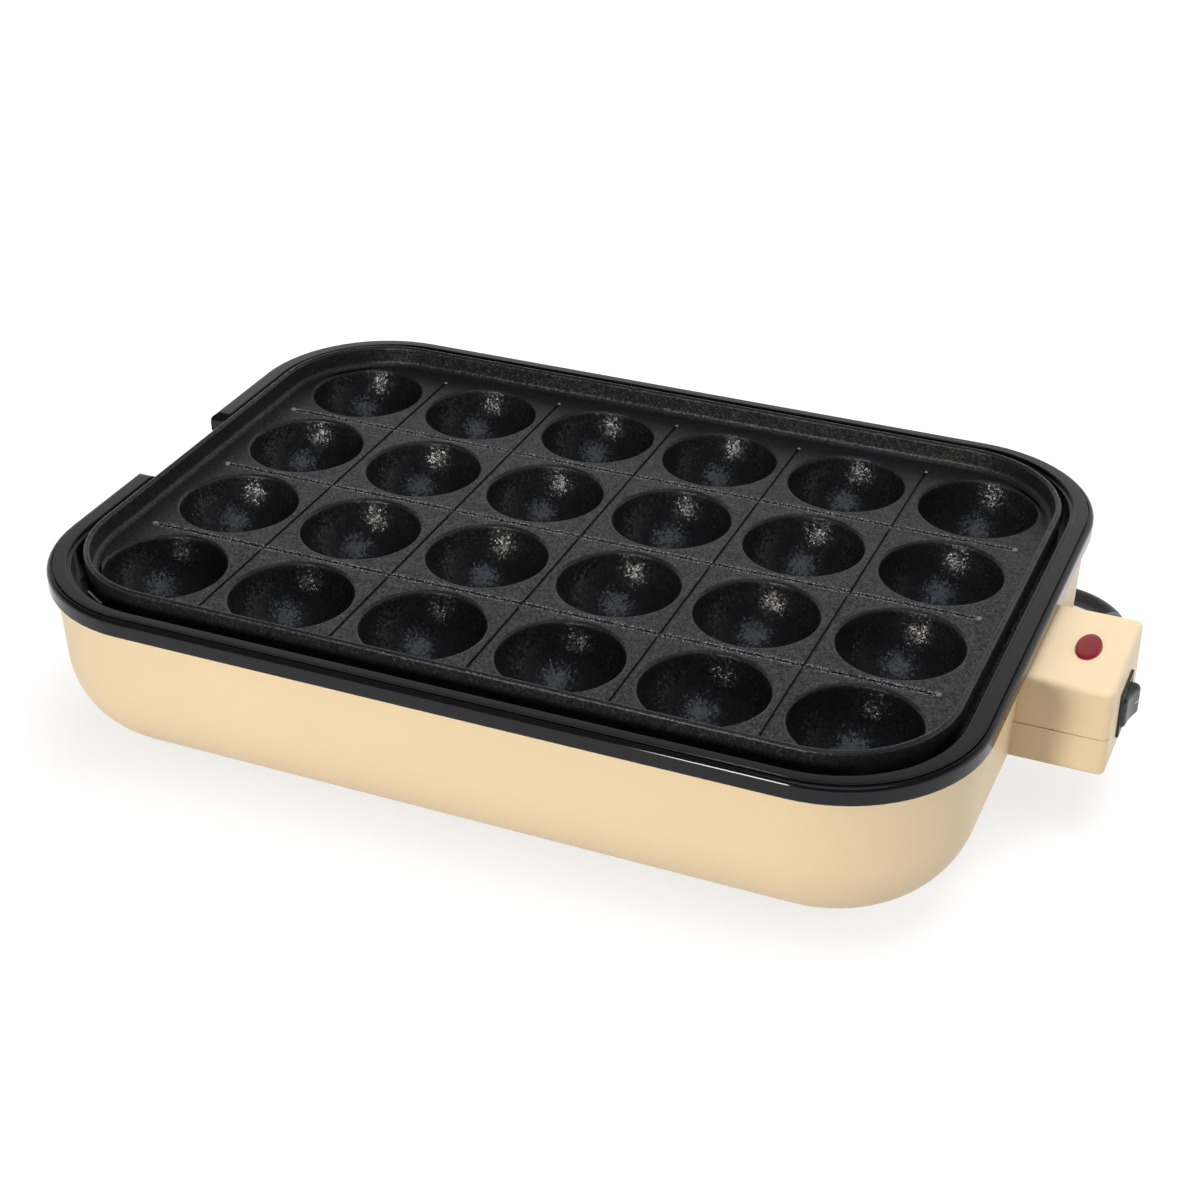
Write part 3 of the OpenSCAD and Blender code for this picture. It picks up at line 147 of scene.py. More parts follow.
class Shape:
    """Points and faces of one mesh, in millimetres in the CAD's layout."""

    def __init__(self):
        self.points = []
        self.faces = []

    def loop(self, points):
        start = len(self.points)
        self.points.extend(points)
        return list(range(start, len(self.points)))

    def bridge(self, first, second, closed=True):
        count = len(first)
        for i in range(count if closed else count - 1):
            j = (i + 1) % count
            self.faces.append((first[i], first[j], second[j], second[i]))

    def loft(self, rows, closed=True, joined=False):
        """Quads between rows of points. closed joins each row's ends, joined the last row to the first."""
        loops = [self.loop(row) for row in rows]
        following = loops[1:] + (loops[:1] if joined else [])
        for first, second in zip(loops, following):
            self.bridge(first, second, closed)
        return loops

    def cap(self, numbers):
        self.faces.append(tuple(numbers))

    def box(self, low, high):
        xs, ys, zs = zip(low, high)
        corners = self.loop([(x, y, z) for x in xs for y in ys for z in zs])
        for face in ((0, 1, 3, 2), (4, 6, 7, 5), (0, 4, 5, 1), (2, 3, 7, 6), (0, 2, 6, 4), (1, 5, 7, 3)):
            self.cap([corners[k] for k in face])


def weld(mesh):
    """Joins points that meet, and turns all faces outwards."""
    data = bmesh.new()
    data.from_mesh(mesh)
    bmesh.ops.remove_doubles(data, verts=data.verts, dist=0.00001)
    bmesh.ops.recalc_face_normals(data, faces=data.faces)
    data.to_mesh(mesh)
    data.free()


def link(name, mesh):
    piece = bpy.data.objects.new(name, mesh)
    bpy.context.scene.collection.objects.link(piece)
    return piece


def mesh_piece(name, shape):
    """A new object from a shape, in metres in the shared frame."""
    mesh = bpy.data.meshes.new(name)
    mesh.from_pydata([at(*point) for point in shape.points], [], shape.faces)
    weld(mesh)
    return link(name, mesh)


def apply_modifiers(piece):
    bpy.context.view_layer.update()
    shown = piece.evaluated_get(bpy.context.evaluated_depsgraph_get())
    mesh = bpy.data.meshes.new_from_object(shown)
    piece.modifiers.clear()
    piece.data = mesh


def smooth(piece, sharp=40):
    """Smooth shading with flat faces kept flat, and hard edges above an angle."""
    piece.data.shade_smooth()
    piece.data.set_sharp_from_angle(angle=math.radians(sharp))
    modifier = piece.modifiers.new("normals", "WEIGHTED_NORMAL")
    modifier.keep_sharp = True
    apply_modifiers(piece)


def cut(piece, shape):
    """Takes a shape out of a piece."""
    tool = mesh_piece("tool", shape)
    modifier = piece.modifiers.new("cut", "BOOLEAN")
    modifier.operation = "DIFFERENCE"
    modifier.solver = "EXACT"
    modifier.object = tool
    apply_modifiers(piece)
    bpy.data.objects.remove(tool)


def softened(node, width, segments=3, sharp=30):
    """A copy of a CAD node with its hard edges rounded by a width in millimetres."""
    mesh = nodes[node].data.copy()
    mesh.name = node + "_soft"
    weld(mesh)
    data = bmesh.new()
    data.from_mesh(mesh)
    bmesh.ops.dissolve_limit(data, angle_limit=math.radians(1), verts=data.verts, edges=data.edges)
    data.to_mesh(mesh)
    data.free()
    piece = link(node + "_soft", mesh)
    modifier = piece.modifiers.new("edges", "BEVEL")
    modifier.width = width * MM
    modifier.segments = segments
    modifier.limit_method = "ANGLE"
    modifier.angle_limit = math.radians(sharp)
    apply_modifiers(piece)
    return piece


def grow(plan, distance):
    """A rounded rectangle's plan moved outwards by a distance."""
    return tuple(value + distance for value in plan)


def arc(centre, radius, start, end, steps):
    """Points of a section's arc, as pairs of distance and height."""
    turns = [start + (end - start) * k / steps for k in range(steps + 1)]
    return [(centre[0] + turned(turn, radius)[0], centre[1] + turned(turn, radius)[1]) for turn in turns]


# Steps along the -X side, next to a gap, where the ring's rounded ends take their shape
END_STEPS = (0, 0.15, 0.5, 1, 1.7, 2.4, 3, 4.5)


def outline(plan, z, gap=0, steps=16):
    """Points round a rounded rectangle, from y = gap on the -X side, by way of +Y, to y = -gap."""
    a, b, r = plan
    start = [(-a, gap + step) for step in END_STEPS] if gap else [(-a, 0)]
    corners = []
    for sx, sy, turn in ((-1, 1, 180), (1, 1, 90), (1, -1, 0), (-1, -1, -90)):
        for k in range(steps + 1):
            dx, dy = turned(turn - 90 * k / steps, r)
            corners.append((sx * (a - r) + dx, sy * (b - r) + dy))
    end = [(x, -y) for x, y in reversed(start)] if gap else []
    return [(x, y, z) for x, y in start + corners + end]


# ---------- Cooking plate ----------

CAVITY_R = 19.7
LIP_R = 1.1
CAVITY_DEPTH = 19
CUP_WALL = 2.2
FLOOR_T = 3
RIM_T = 2.1
FILLET = 2
GROOVE_HALF = 0.5
GROOVE_D = 0.9
GROOVE_MARGIN = 18.3
PIP_SMALL = 0.6
PIP_LARGE = 1.05
HALF = PITCH / 2
RAYS = 96
SPHERE_R = (CAVITY_R ** 2 + (CAVITY_DEPTH - LIP_R) ** 2) / (2 * (CAVITY_DEPTH - LIP_R))
SPHERE_Z = FLOOR_Z - CAVITY_DEPTH + SPHERE_R
LAST_X = (COLUMNS - 1) * HALF
LAST_Y = (ROWS - 1) * HALF


def outside(x, y, plan):
    """Distance of a point outside a rounded rectangle, negative inside."""
    a, b, r = plan
    dx = abs(x) - (a - r)
    dy = abs(y) - (b - r)
    return math.hypot(max(dx, 0), max(dy, 0)) + min(max(dx, dy), 0) - r


def cell_reach(cx, cy, dx, dy, plan):
    """Distance from a cavity's centre to the edge of its cell in a direction."""
    low, high = 0, 60
    halvings = 30
    for _ in range(halvings):
        middle = (low + high) / 2
        if outside(cx + middle * dx, cy + middle * dy, plan) < 0:
            low = middle
        else:
            high = middle
    if abs(cx) < LAST_X or cx * dx < 0:
        low = min(low, HALF / max(abs(dx), 1e-9))
    if abs(cy) < LAST_Y or cy * dy < 0:
        low = min(low, HALF / max(abs(dy), 1e-9))
    return low


def cell_turns(cx, cy):
    """Directions round a cavity: even steps, and the places where the grooves end and the rim starts."""
    turns = {round(360 * k / RAYS, 6) for k in range(RAYS)}
    for end in (GROOVE_MARGIN, GROOVE_MARGIN + 0.8, RIM[0] - RIM_T - FILLET - LAST_X):
        for side in (-HALF, HALF):
            if abs(cx) == LAST_X:
                turns.add(round(math.degrees(math.atan2(side, math.copysign(end, cx))) % 360, 6))
            if abs(cy) == LAST_Y:
                turns.add(round(math.degrees(math.atan2(math.copysign(end, cy), side)) % 360, 6))
    return sorted(turns)


def groove_depth(x, y):
    """How far the grooves let the floor in at a point."""
    deepest = 0
    for across, along, last in ((x, y, LAST_Y), (y, x, LAST_X)):
        nearest = round(across / PITCH) * PITCH
        beyond = abs(along) - last - GROOVE_MARGIN
        if abs(nearest) < (LAST_X if last == LAST_Y else LAST_Y) and beyond < 0.01:
            share = min(abs(across - nearest) / GROOVE_HALF, 1)
            deepest = max(deepest, GROOVE_D * (1 - share ** 6))
    return deepest


def add_cell(shape, cx, cy, profile, plan, offsets, depth_at):
    """A cup by its profile from the bottom out, and the floor from its lip to the edge of the cell."""
    turns = cell_turns(cx, cy)
    ways = [turned(turn) for turn in turns]
    edges = [cell_reach(cx, cy, dx, dy, plan) for dx, dy in ways]
    rows = [[(cx + r * dx, cy + r * dy, z) for dx, dy in ways] for r, z in profile[1:]]
    lip_r, floor = profile[-1]
    for share in (0.25, 0.6):
        row = []
        for (dx, dy), edge in zip(ways, edges):
            r = lip_r + share * (edge * (1 - offsets[0] / HALF) - lip_r)
            row.append((cx + r * dx, cy + r * dy, floor))
        rows.append(row)
    for offset in offsets:
        row = []
        for (dx, dy), edge in zip(ways, edges):
            r = edge * (1 - offset / HALF)
            row.append((cx + r * dx, cy + r * dy, floor - depth_at(cx + r * dx, cy + r * dy)))
        rows.append(row)
    loops = shape.loft(rows)
    centre = shape.loop([(cx, cy, profile[0][1])])[0]
    for i in range(len(turns)):
        shape.cap((centre, loops[0][i], loops[0][(i + 1) % len(turns)]))


def cup_profile(radius, top_r, steps):
    """A cup's section on its sphere, from the bottom to where it is top_r wide."""
    last = math.degrees(math.asin(top_r / radius))
    return [(turned(last * k / steps, radius)[1], SPHERE_Z - turned(last * k / steps, radius)[0])
            for k in range(steps + 1)]


def add_pip(shape, x, y, radius):
    """The small cast dot at the end of a groove: a low dome, set a little into the floor."""
    sunk = 0.05
    flat = 0.6
    rows = []
    for lift in (0, 26, 52, 78):
        r, z = turned(lift, radius)
        ways = [turned(30 * k, r) for k in range(12)]
        rows.append([(x + dx, y + dy, FLOOR_Z - sunk + flat * z) for dx, dy in ways])
    loops = shape.loft(rows)
    shape.cap(loops[-1])


def build_plate():
    """The cast plate: cavities and floor above, cups and underside below, and the rim with its skirt."""
    shape = Shape()
    inner = cup_profile(SPHERE_R, CAVITY_R, 14)
    lip = arc((CAVITY_R + LIP_R, FLOOR_Z - LIP_R), LIP_R, 180, 90, 6)
    outer_r = SPHERE_R + CUP_WALL
    under_z = FLOOR_Z - FLOOR_T
    outer = cup_profile(outer_r, math.sqrt(outer_r ** 2 - (SPHERE_Z - under_z) ** 2), 12)
    for column in range(COLUMNS):
        for row in range(ROWS):
            cx = (column - (COLUMNS - 1) / 2) * PITCH
            cy = (row - (ROWS - 1) / 2) * PITCH
            add_cell(shape, cx, cy, inner + lip[1:], grow(RIM, 0.15 - RIM_T - FILLET),
                     (1.1, 0.75, 0.5, 0.4, 0.25, 0), groove_depth)
            add_cell(shape, cx, cy, outer, grow(RIM, -3.9), (0.6, 0), lambda x, y: 0)
    top = RIM_TOP_Z
    section = [(-RIM_T - FILLET - 1, FLOOR_Z - 0.02)]
    section += arc((-RIM_T - FILLET, FLOOR_Z + FILLET), FILLET, -90, 0, 7)
    section += arc((-RIM_T + 1, top - 1), 1, 180, 90, 5) + arc((-1, top - 1), 1, 90, 0, 5)
    section += arc((-0.5, SKIRT_Z + 0.5), 0.5, 0, -90, 3) + arc((-RIM_T, SKIRT_Z + 0.4), 0.4, -90, -180, 3)
    section += arc((-4, under_z - 1.5), 1.5, 0, 90, 4)
    section += [(-5.5, under_z + 0.02)]
    shape.loft([outline(grow(RIM, distance), z) for distance, z in section])
    piece = mesh_piece("plate_cast", shape)
    smooth(piece, 60)
    return piece


def build_pips():
    """Dots at the ends of all grooves: small ones along Y, larger ones along X."""
    shape = Shape()
    for side in (-1, 1):
        for k in range(1 - COLUMNS // 2, COLUMNS // 2):
            add_pip(shape, k * PITCH, side * (LAST_Y + GROOVE_MARGIN), PIP_SMALL)
        for k in range(1 - ROWS // 2, ROWS // 2):
            add_pip(shape, side * (LAST_X + GROOVE_MARGIN), k * PITCH, PIP_LARGE)
    piece = mesh_piece("plate_pips", shape)
    smooth(piece, 60)
    return piece


# ---------- Guard ring ----------

NOTCH_HALF = 23
NOTCH_R = 3
RING_FOOT_Z = RING_LOW_Z + 0.2
RING_CEILING_Z = RING_TOP_Z - 2.2


def ring_rows():
    """The ring's section as plans and heights: up its skirt, over the band and down inside."""
    rows = [(BODY, RING_LOW_Z)]
    rows += [(grow(SKIRT, d), z) for d, z in arc((-0.5, RING_LOW_Z + 0.5), 0.5, -90, 0, 3)]
    shoulder_z = RING_TOP_Z - 0.6
    rows += [(grow(SKIRT, d), z) for d, z in arc((-1.5, shoulder_z - 1.5), 1.5, 0, 90, 7)]
    rows += [(grow(SKIRT, -1.62), shoulder_z - 0.1), (grow(SKIRT, -1.7), shoulder_z - 0.6),
             (grow(SKIRT, -1.95), shoulder_z - 0.6)]
    rows += [(grow(SKIRT, -2), RING_TOP_Z - 0.3), (grow(SKIRT, -2.08), RING_TOP_Z - 0.08),
             (grow(SKIRT, -2.3), RING_TOP_Z)]
    rows += [(grow(BAND_IN, -d), z) for d, z in arc((-0.5, RING_TOP_Z - 0.5), 0.5, 90, 0, 4)]
    rows += [(BAND_IN, RING_TOP_Z - 1.1), (grow(BAND_IN, -0.15), RING_TOP_Z - 1.2)]
    rows += [(grow(LEDGE, -d), z) for d, z in arc((-0.3, RING_TOP_Z - 1.5), 0.3, 90, 0, 3)]
    rows += [(LEDGE, RING_FOOT_Z), (RING_WALL, RING_FOOT_Z)]
    rows += [(RING_WALL, RING_CEILING_Z), (BODY, RING_CEILING_Z)]
    return rows


def notch_top(step):
    """Height of the ring's rounded end beside the finger notch."""
    short = NOTCH_R - min(step, NOTCH_R)
    return RING_TOP_Z - NOTCH_R + math.sqrt(NOTCH_R ** 2 - short ** 2)


def build_ring():
    """The ring, open at the finger notch and plugged at its two ends there, and its wall under the band."""
    shape = Shape()
    rows = []
    for plan, z in ring_rows():
        row = outline(plan, z, NOTCH_HALF)
        for k, step in enumerate(END_STEPS):
            for number in (k, -1 - k):
                x, y, height = row[number]
                row[number] = (x, y, min(height, notch_top(step)))
        rows.append(row)
    loops = shape.loft(rows, closed=False, joined=True)
    shape.cap([loop[0] for loop in loops])
    shape.cap([loop[-1] for loop in loops])
    plug_top = RING_TOP_Z - NOTCH_R + 0.7
    for side in (-1, 1):
        ends = sorted((side * (NOTCH_HALF - 0.05), side * (NOTCH_HALF + 1.2)))
        shape.box((-BODY[0], ends[0], RING_LOW_Z + 0.1), (-RING_WALL[0] + 1, ends[1], plug_top))
    low = SKIRT_Z - 0.8
    edge = 0.3
    wall = [(LEDGE, RING_FOOT_Z), (LEDGE, low + edge), (grow(LEDGE, edge), low),
            (grow(RING_WALL, -edge), low), (RING_WALL, low + edge), (RING_WALL, RING_FOOT_Z)]
    shape.loft([outline(plan, z) for plan, z in wall], joined=True)
    piece = mesh_piece("ring_moulded", shape)
    smooth(piece, 50)
    return piece


# ---------- Control box ----------

BOX_START_X = 150.2
BOX_R = 2.2
BOX_EDGE_R = 2.0
BOX_SHELL = 2.1
SEAM_CUT = 0.6


def box_path(inset, z):
    """Points round the box's three free sides, out along -Y, round the end and back along +Y."""
    x1 = BOX_END_X - inset
    half = BOX_HALF - inset
    r = max(BOX_R - inset, 0.3)
    points = [(BOX_START_X, -half)]
    for side, turn in ((-1, -90), (1, 0)):
        for k in range(7):
            dx, dy = turned(turn + 15 * k, r)
            points.append((x1 - r + dx, side * (half - r) + dy))
    points.append((BOX_START_X, half))
    return [(x, y, z) for x, y in points]


def build_box_half(name, z_seam, z_end):
    """Half of the box as a shell: from the seam groove, over the rounded edge, and back inside."""
    way = 1 if z_end > z_seam else -1
    shape = Shape()
    outside_rows = [(SEAM_CUT, z_seam), (SEAM_CUT, z_seam + way * 0.2)]
    outside_rows += [(0.12, z_seam + way * 0.24), (0, z_seam + way * 0.4)]
    for distance, height in arc((0, 0), BOX_EDGE_R, 0, 90, 6):
        outside_rows.append((BOX_EDGE_R - distance, z_end - way * (BOX_EDGE_R - height)))
    inside_rows = [(BOX_SHELL, z_end - way * BOX_SHELL), (BOX_SHELL, z_seam)]
    outer = shape.loft([box_path(inset, z) for inset, z in outside_rows], closed=False)
    shape.cap(outer[-1])
    inner = shape.loft([box_path(inset, z) for inset, z in inside_rows], closed=False)
    shape.cap(inner[0])
    shape.bridge(inner[-1], outer[0], closed=False)
    for end in (0, -1):
        shape.cap([loop[end] for loop in outer] + [loop[end] for loop in inner])
    top_edge = (outer[-1][0], outer[-1][-1], inner[0][-1], inner[0][0])
    shape.cap(top_edge)
    return mesh_piece(name, shape)


LAMP_X = 167.3
LAMP_HALF_X = 3.9
LAMP_HALF_Y = 7.3
LENS_RISE = 0.9
LENS_DEPTH = 6
SWITCH_HOLE_Y = 7.55
SWITCH_HOLE_Z = 6.45


def lamp_oval(grown, z):
    """The lens's outline, grown by a distance."""
    ways = [turned(5 * k) for k in range(72)]
    return [(LAMP_X + (LAMP_HALF_X + grown) * c, (LAMP_HALF_Y + grown) * d, z) for c, d in ways]


def build_lens():
    """The pilot lamp's lens, with a rounded edge and a flat top."""
    shape = Shape()
    top = BOX_TOP_Z + LENS_RISE
    edge_r = 0.45
    edge_z = top - 0.55
    section = [(0, BOX_TOP_Z - LENS_DEPTH), (0, edge_z)]
    section += [(d - edge_r, z) for d, z in arc((0, edge_z), edge_r, 0, 90, 5)][1:]
    section += [(-1.2, top - 0.04), (-2.4, top)]
    loops = shape.loft([lamp_oval(grown, z) for grown, z in section])
    shape.cap(loops[-1])
    shape.cap(loops[0])
    piece = mesh_piece("lens_oval", shape)
    smooth(piece, 50)
    return piece


def build_box():
    """Both halves of the box, with the holes for the switch and the lamp."""
    upper = build_box_half("box_upper_shell", SEAM_Z, BOX_TOP_Z)
    lower = build_box_half("box_lower_shell", SEAM_Z, BOX_LOW_Z)
    switch = Shape()
    switch.box((BOX_END_X - 6, -SWITCH_HOLE_Y, SEAM_Z - SWITCH_HOLE_Z),
               (BOX_END_X + 4, SWITCH_HOLE_Y, SEAM_Z + SWITCH_HOLE_Z))
    lamp = Shape()
    loops = lamp.loft([lamp_oval(0.08, z) for z in (BOX_TOP_Z - 4, BOX_TOP_Z + 4)])
    lamp.cap(loops[0])
    lamp.cap(loops[1])
    cut(upper, switch)
    cut(lower, switch)
    cut(upper, lamp)
    smooth(upper, 35)
    smooth(lower, 35)
    return upper, lower


# ---------- Switch ----------

PIVOT_X = 178.6
ROCKER_REST = 12
ROCKER_FACE = 4.4
ROCKER_BACK = -1.4
ROCKER_DISH = 0.35


def on_rocker(x, y, z):
    """A point given from the rocker's pivot, turned with the rocker at rest."""
    c, s = turned(-ROCKER_REST)
    return PIVOT_X + x * c - y * s, x * s + y * c, SEAM_Z + z


def rocker_outline(inset, z):
    """The rocker's section, with a wide nose on its raised end, a small one on the other, and a dish."""
    nose_r = 2
    tail_r = 1.65
    half = 6.3
    points = [(ROCKER_BACK, inset - 5.4)]
    points += arc((ROCKER_FACE - tail_r, tail_r - half), tail_r - inset, -90, 0, 4)
    for k in range(1, 8):
        y = tail_r - half + (2 * half - tail_r - nose_r) * k / 8
        points.append((ROCKER_FACE - inset - ROCKER_DISH * math.sin(math.pi * k / 8), y))
    points += arc((ROCKER_FACE - nose_r, half - nose_r), nose_r - inset, 0, 90, 8)
    points.append((ROCKER_BACK, 5.4 - inset))
    return [on_rocker(x, y, z) for x, y in points]


def build_rocker():
    """The rocker's cap with rounded edges, its pivot and the leg that carries the contact blade."""
    shape = Shape()
    half_z = 5.3
    round_r = 1.6
    rows = [(round_r - distance, half_z - round_r + height)
            for distance, height in arc((0, 0), round_r, 0, 90, 7)]
    loops = shape.loft([rocker_outline(inset, -z) for inset, z in reversed(rows)]
                       + [rocker_outline(inset, z) for inset, z in rows])
    shape.cap(loops[0])
    shape.cap(loops[-1])
    pivot = shape.loft([[on_rocker(*turned(15 * k, 1.1), z) for k in range(24)] for z in (-6.2, 6.2)])
    leg = shape.loft([[on_rocker(x, y, z) for y, z in ((-0.8, -1.5), (0.8, -1.5), (0.8, 1.5), (-0.8, 1.5))]
                      for x in (-10.6, -1)])
    for loop in pivot + leg:
        shape.cap(loop)
    piece = mesh_piece("rocker_cap", shape)
    smooth(piece, 45)
    return piece


def build_mark():
    """The painted stroke on the raised half of the rocker."""
    shape = Shape()
    rows = []
    for lift in (-0.1, 0.03):
        row = []
        for k in range(16):
            dy, dz = turned(22.5 * k, 0.32)
            y = 3.2 + dy + math.copysign(0.75, dy + 1e-6)
            dish = ROCKER_DISH * math.sin(math.pi * (y + 5.7) / 10.3)
            row.append(on_rocker(ROCKER_FACE - dish + lift, y, dz))
        rows.append(row)
    loops = shape.loft(rows)
    shape.cap(loops[1])
    return mesh_piece("rocker_stroke", shape)


# ---------- Cord ----------

def build_cord():
    """The mains cord from the box to the plug, as one open curve."""
    curve = bpy.data.curves.new("mains_cord", "CURVE")
    curve.dimensions = "3D"
    curve.bevel_depth = CORD_D / 2 * MM
    curve.bevel_resolution = 6
    curve.resolution_u = 6
    curve.use_fill_caps = True
    route = LEAD_POINTS + COIL_POINTS + TAIL_POINTS
    spline = curve.splines.new("BEZIER")
    spline.bezier_points.add(len(route) - 1)
    for knot, point in zip(spline.bezier_points, route):
        knot.co = at(*point)
        knot.handle_left_type = "AUTO"
        knot.handle_right_type = "AUTO"
    cord = bpy.data.objects.new("mains_cord", curve)
    bpy.context.scene.collection.objects.link(cord)
    return cord


# ---------- Materials ----------

def new_material(name):
    """A material, its node tree and its shader."""
    material = bpy.data.materials.new(name)
    material.use_nodes = True
    tree = material.node_tree
    return material, tree, tree.nodes["Principled BSDF"]


def add_node(tree, kind, **values):
    """A node with values for its inputs and its own settings."""
    node = tree.nodes.new(kind)
    for key, value in values.items():
        if key in node.inputs:
            node.inputs[key].default_value = value
        else:
            setattr(node, key, value)
    return node


def object_place(tree):
    """The place on the object, in metres."""
    return add_node(tree, "ShaderNodeTexCoord").outputs["Object"]


def axes_of(tree, vector):
    """A vector's three parts."""
    axes = add_node(tree, "ShaderNodeSeparateXYZ")
    tree.links.new(vector, axes.inputs["Vector"])
    return axes.outputs


def texture(tree, kind, scale, **values):
    node = add_node(tree, kind, Scale=scale, **values)
    tree.links.new(object_place(tree), node.inputs["Vector"])
    return node


def noise(tree, scale, detail=2.0, roughness=0.5):
    return texture(tree, "ShaderNodeTexNoise", scale, Detail=detail, Roughness=roughness).outputs["Fac"]


def ramp(tree, source, stops):
    """A colour by a value, between two stops of (value, colour)."""
    node = add_node(tree, "ShaderNodeValToRGB")
    elements = node.color_ramp.elements
    elements[0].position, elements[0].color = stops[0][0], (*stops[0][1], 1)
    elements[1].position, elements[1].color = stops[1][0], (*stops[1][1], 1)
    tree.links.new(source, node.inputs["Fac"])
    return node.outputs["Color"]


def value_range(tree, source, low, high, from_low=0.3, from_high=0.7):
    """A value brought from one range to another, and kept within it."""
    node = add_node(tree, "ShaderNodeMapRange")
    for key, value in (("From Min", from_low), ("From Max", from_high), ("To Min", low), ("To Max", high)):
        node.inputs[key].default_value = value
    tree.links.new(source, node.inputs["Value"])
    return node.outputs["Result"]


def bumps(tree, shader, layers):
    """Bump layers of (height, strength, depth in millimetres), the coarse one first."""
    before = None
    for height, strength, depth in layers:
        node = add_node(tree, "ShaderNodeBump", Strength=strength, Distance=depth * MM)
        tree.links.new(height, node.inputs["Height"])
        if before is not None:
            tree.links.new(before.outputs["Normal"], node.inputs["Normal"])
        before = node
    tree.links.new(before.outputs["Normal"], shader.inputs["Normal"])


def plastic(name, colour, roughness, grain=900, spread=0.04, depth=0.02, metallic=0.0, cloud_scale=18,
            mirror=0.5):
    """Moulded plastic, rubber or plain metal: a faint cloud in the colour, uneven gloss and a fine grain."""
    material, tree, shader = new_material(name)
    dark = tuple(c * (1 - spread) for c in colour)
    light = tuple(min(1, c * (1 + spread)) for c in colour)
    cloud = noise(tree, cloud_scale, 4)
    tree.links.new(ramp(tree, cloud, [(0.3, dark), (0.7, light)]), shader.inputs["Base Color"])
    tree.links.new(value_range(tree, noise(tree, 60, 5), roughness * 0.88, roughness * 1.12),
                   shader.inputs["Roughness"])
    shader.inputs["Metallic"].default_value = metallic
    shader.inputs["Specular IOR Level"].default_value = mirror
    bumps(tree, shader, [(noise(tree, 45), 0.05, 0.05), (noise(tree, grain), 0.4, depth)])
    return material


def math_node(tree, operation, first, second):
    node = add_node(tree, "ShaderNodeMath", operation=operation)
    for socket, value in zip(node.inputs, (first, second)):
        if isinstance(value, (int, float)):
            socket.default_value = value
        else:
            tree.links.new(value, socket)
    return node.outputs["Value"]


def vector_node(tree, operation, first, second=(0, 0, 0)):
    node = add_node(tree, "ShaderNodeVectorMath", operation=operation)
    for socket, value in zip(node.inputs, (first, second)):
        if isinstance(value, tuple):
            socket.default_value = value
        else:
            tree.links.new(value, socket)
    return node.outputs["Value" if operation == "LENGTH" else "Vector"]


def seam_mask(tree):
    """One beside the grooves along X, zero elsewhere."""
    moved = vector_node(tree, "ADD", object_place(tree), (ORIGIN_X * MM, 0, 0))
    axes = axes_of(tree, vector_node(tree, "ABSOLUTE", moved))
    aside = math_node(tree, "PINGPONG", axes["Y"], HALF * MM)
    beside = value_range(tree, aside, 1, 0, 0.6 * MM, 1.9 * MM)
    end = LAST_X + GROOVE_MARGIN
    within_x = value_range(tree, axes["X"], 1, 0, (end - 1) * MM, end * MM)
    within_y = value_range(tree, axes["Y"], 1, 0, (LAST_Y + 3) * MM, (LAST_Y + 5) * MM)
    return math_node(tree, "MULTIPLY", beside, math_node(tree, "MULTIPLY", within_x, within_y))


def nonstick():
    """Non-stick coat on cast aluminium: near black, with tiny tilted grains that break highlights into
    sparks, duller on the flat than in the cavities. Beside the grooves along X the coat has crumbs, bumped
    and painted light grey as painted glints, which only these grooves catch."""
    material, tree, shader = new_material("nonstick")
    # Painted glints: the crumbs beside the grooves along X are painted light grey (0.3) and bumped. The bump
    # is their real texture; the colour stands in for the glints they catch.
    crumb = texture(tree, "ShaderNodeTexVoronoi", 1300, Randomness=1.0).outputs["Distance"]
    crumbs_and_glints = math_node(tree, "MULTIPLY", value_range(tree, crumb, 1, 0, 0.2, 0.5), seam_mask(tree))
    blend = add_node(tree, "ShaderNodeMix", data_type="RGBA")
    tree.links.new(crumbs_and_glints, blend.inputs["Factor"])
    coat = [(0.35, (0.006, 0.006, 0.0065)), (0.7, (0.01, 0.01, 0.0105))]
    tree.links.new(ramp(tree, noise(tree, 1400, 3, 0.7), coat), blend.inputs["A"])
    blend.inputs["B"].default_value = (0.3, 0.3, 0.3, 1)
    tree.links.new(blend.outputs["Result"], shader.inputs["Base Color"])
    height = axes_of(tree, object_place(tree))["Z"]
    duller = value_range(tree, height, 0, 0.16, (FLOOR_Z - 2) * MM, (FLOOR_Z - 0.5) * MM)
    roughness = math_node(tree, "ADD", value_range(tree, noise(tree, 300, 4), 0.24, 0.32), duller)
    tree.links.new(roughness, shader.inputs["Roughness"])
    bumps(tree, shader, [(crumbs_and_glints, 1, 0.25), (noise(tree, 1500, 2), 0.5, 0.04)])
    grains = texture(tree, "ShaderNodeTexVoronoi", 1600).outputs["Color"]
    centred = vector_node(tree, "SUBTRACT", grains, (0.5, 0.5, 0.5))
    tilt = vector_node(tree, "MULTIPLY", centred, (0.25, 0.25, 0.25))
    bumped = shader.inputs["Normal"].links[0].from_socket
    tilted = vector_node(tree, "ADD", bumped, tilt)
    tree.links.new(vector_node(tree, "NORMALIZE", tilted), shader.inputs["Normal"])
    return material


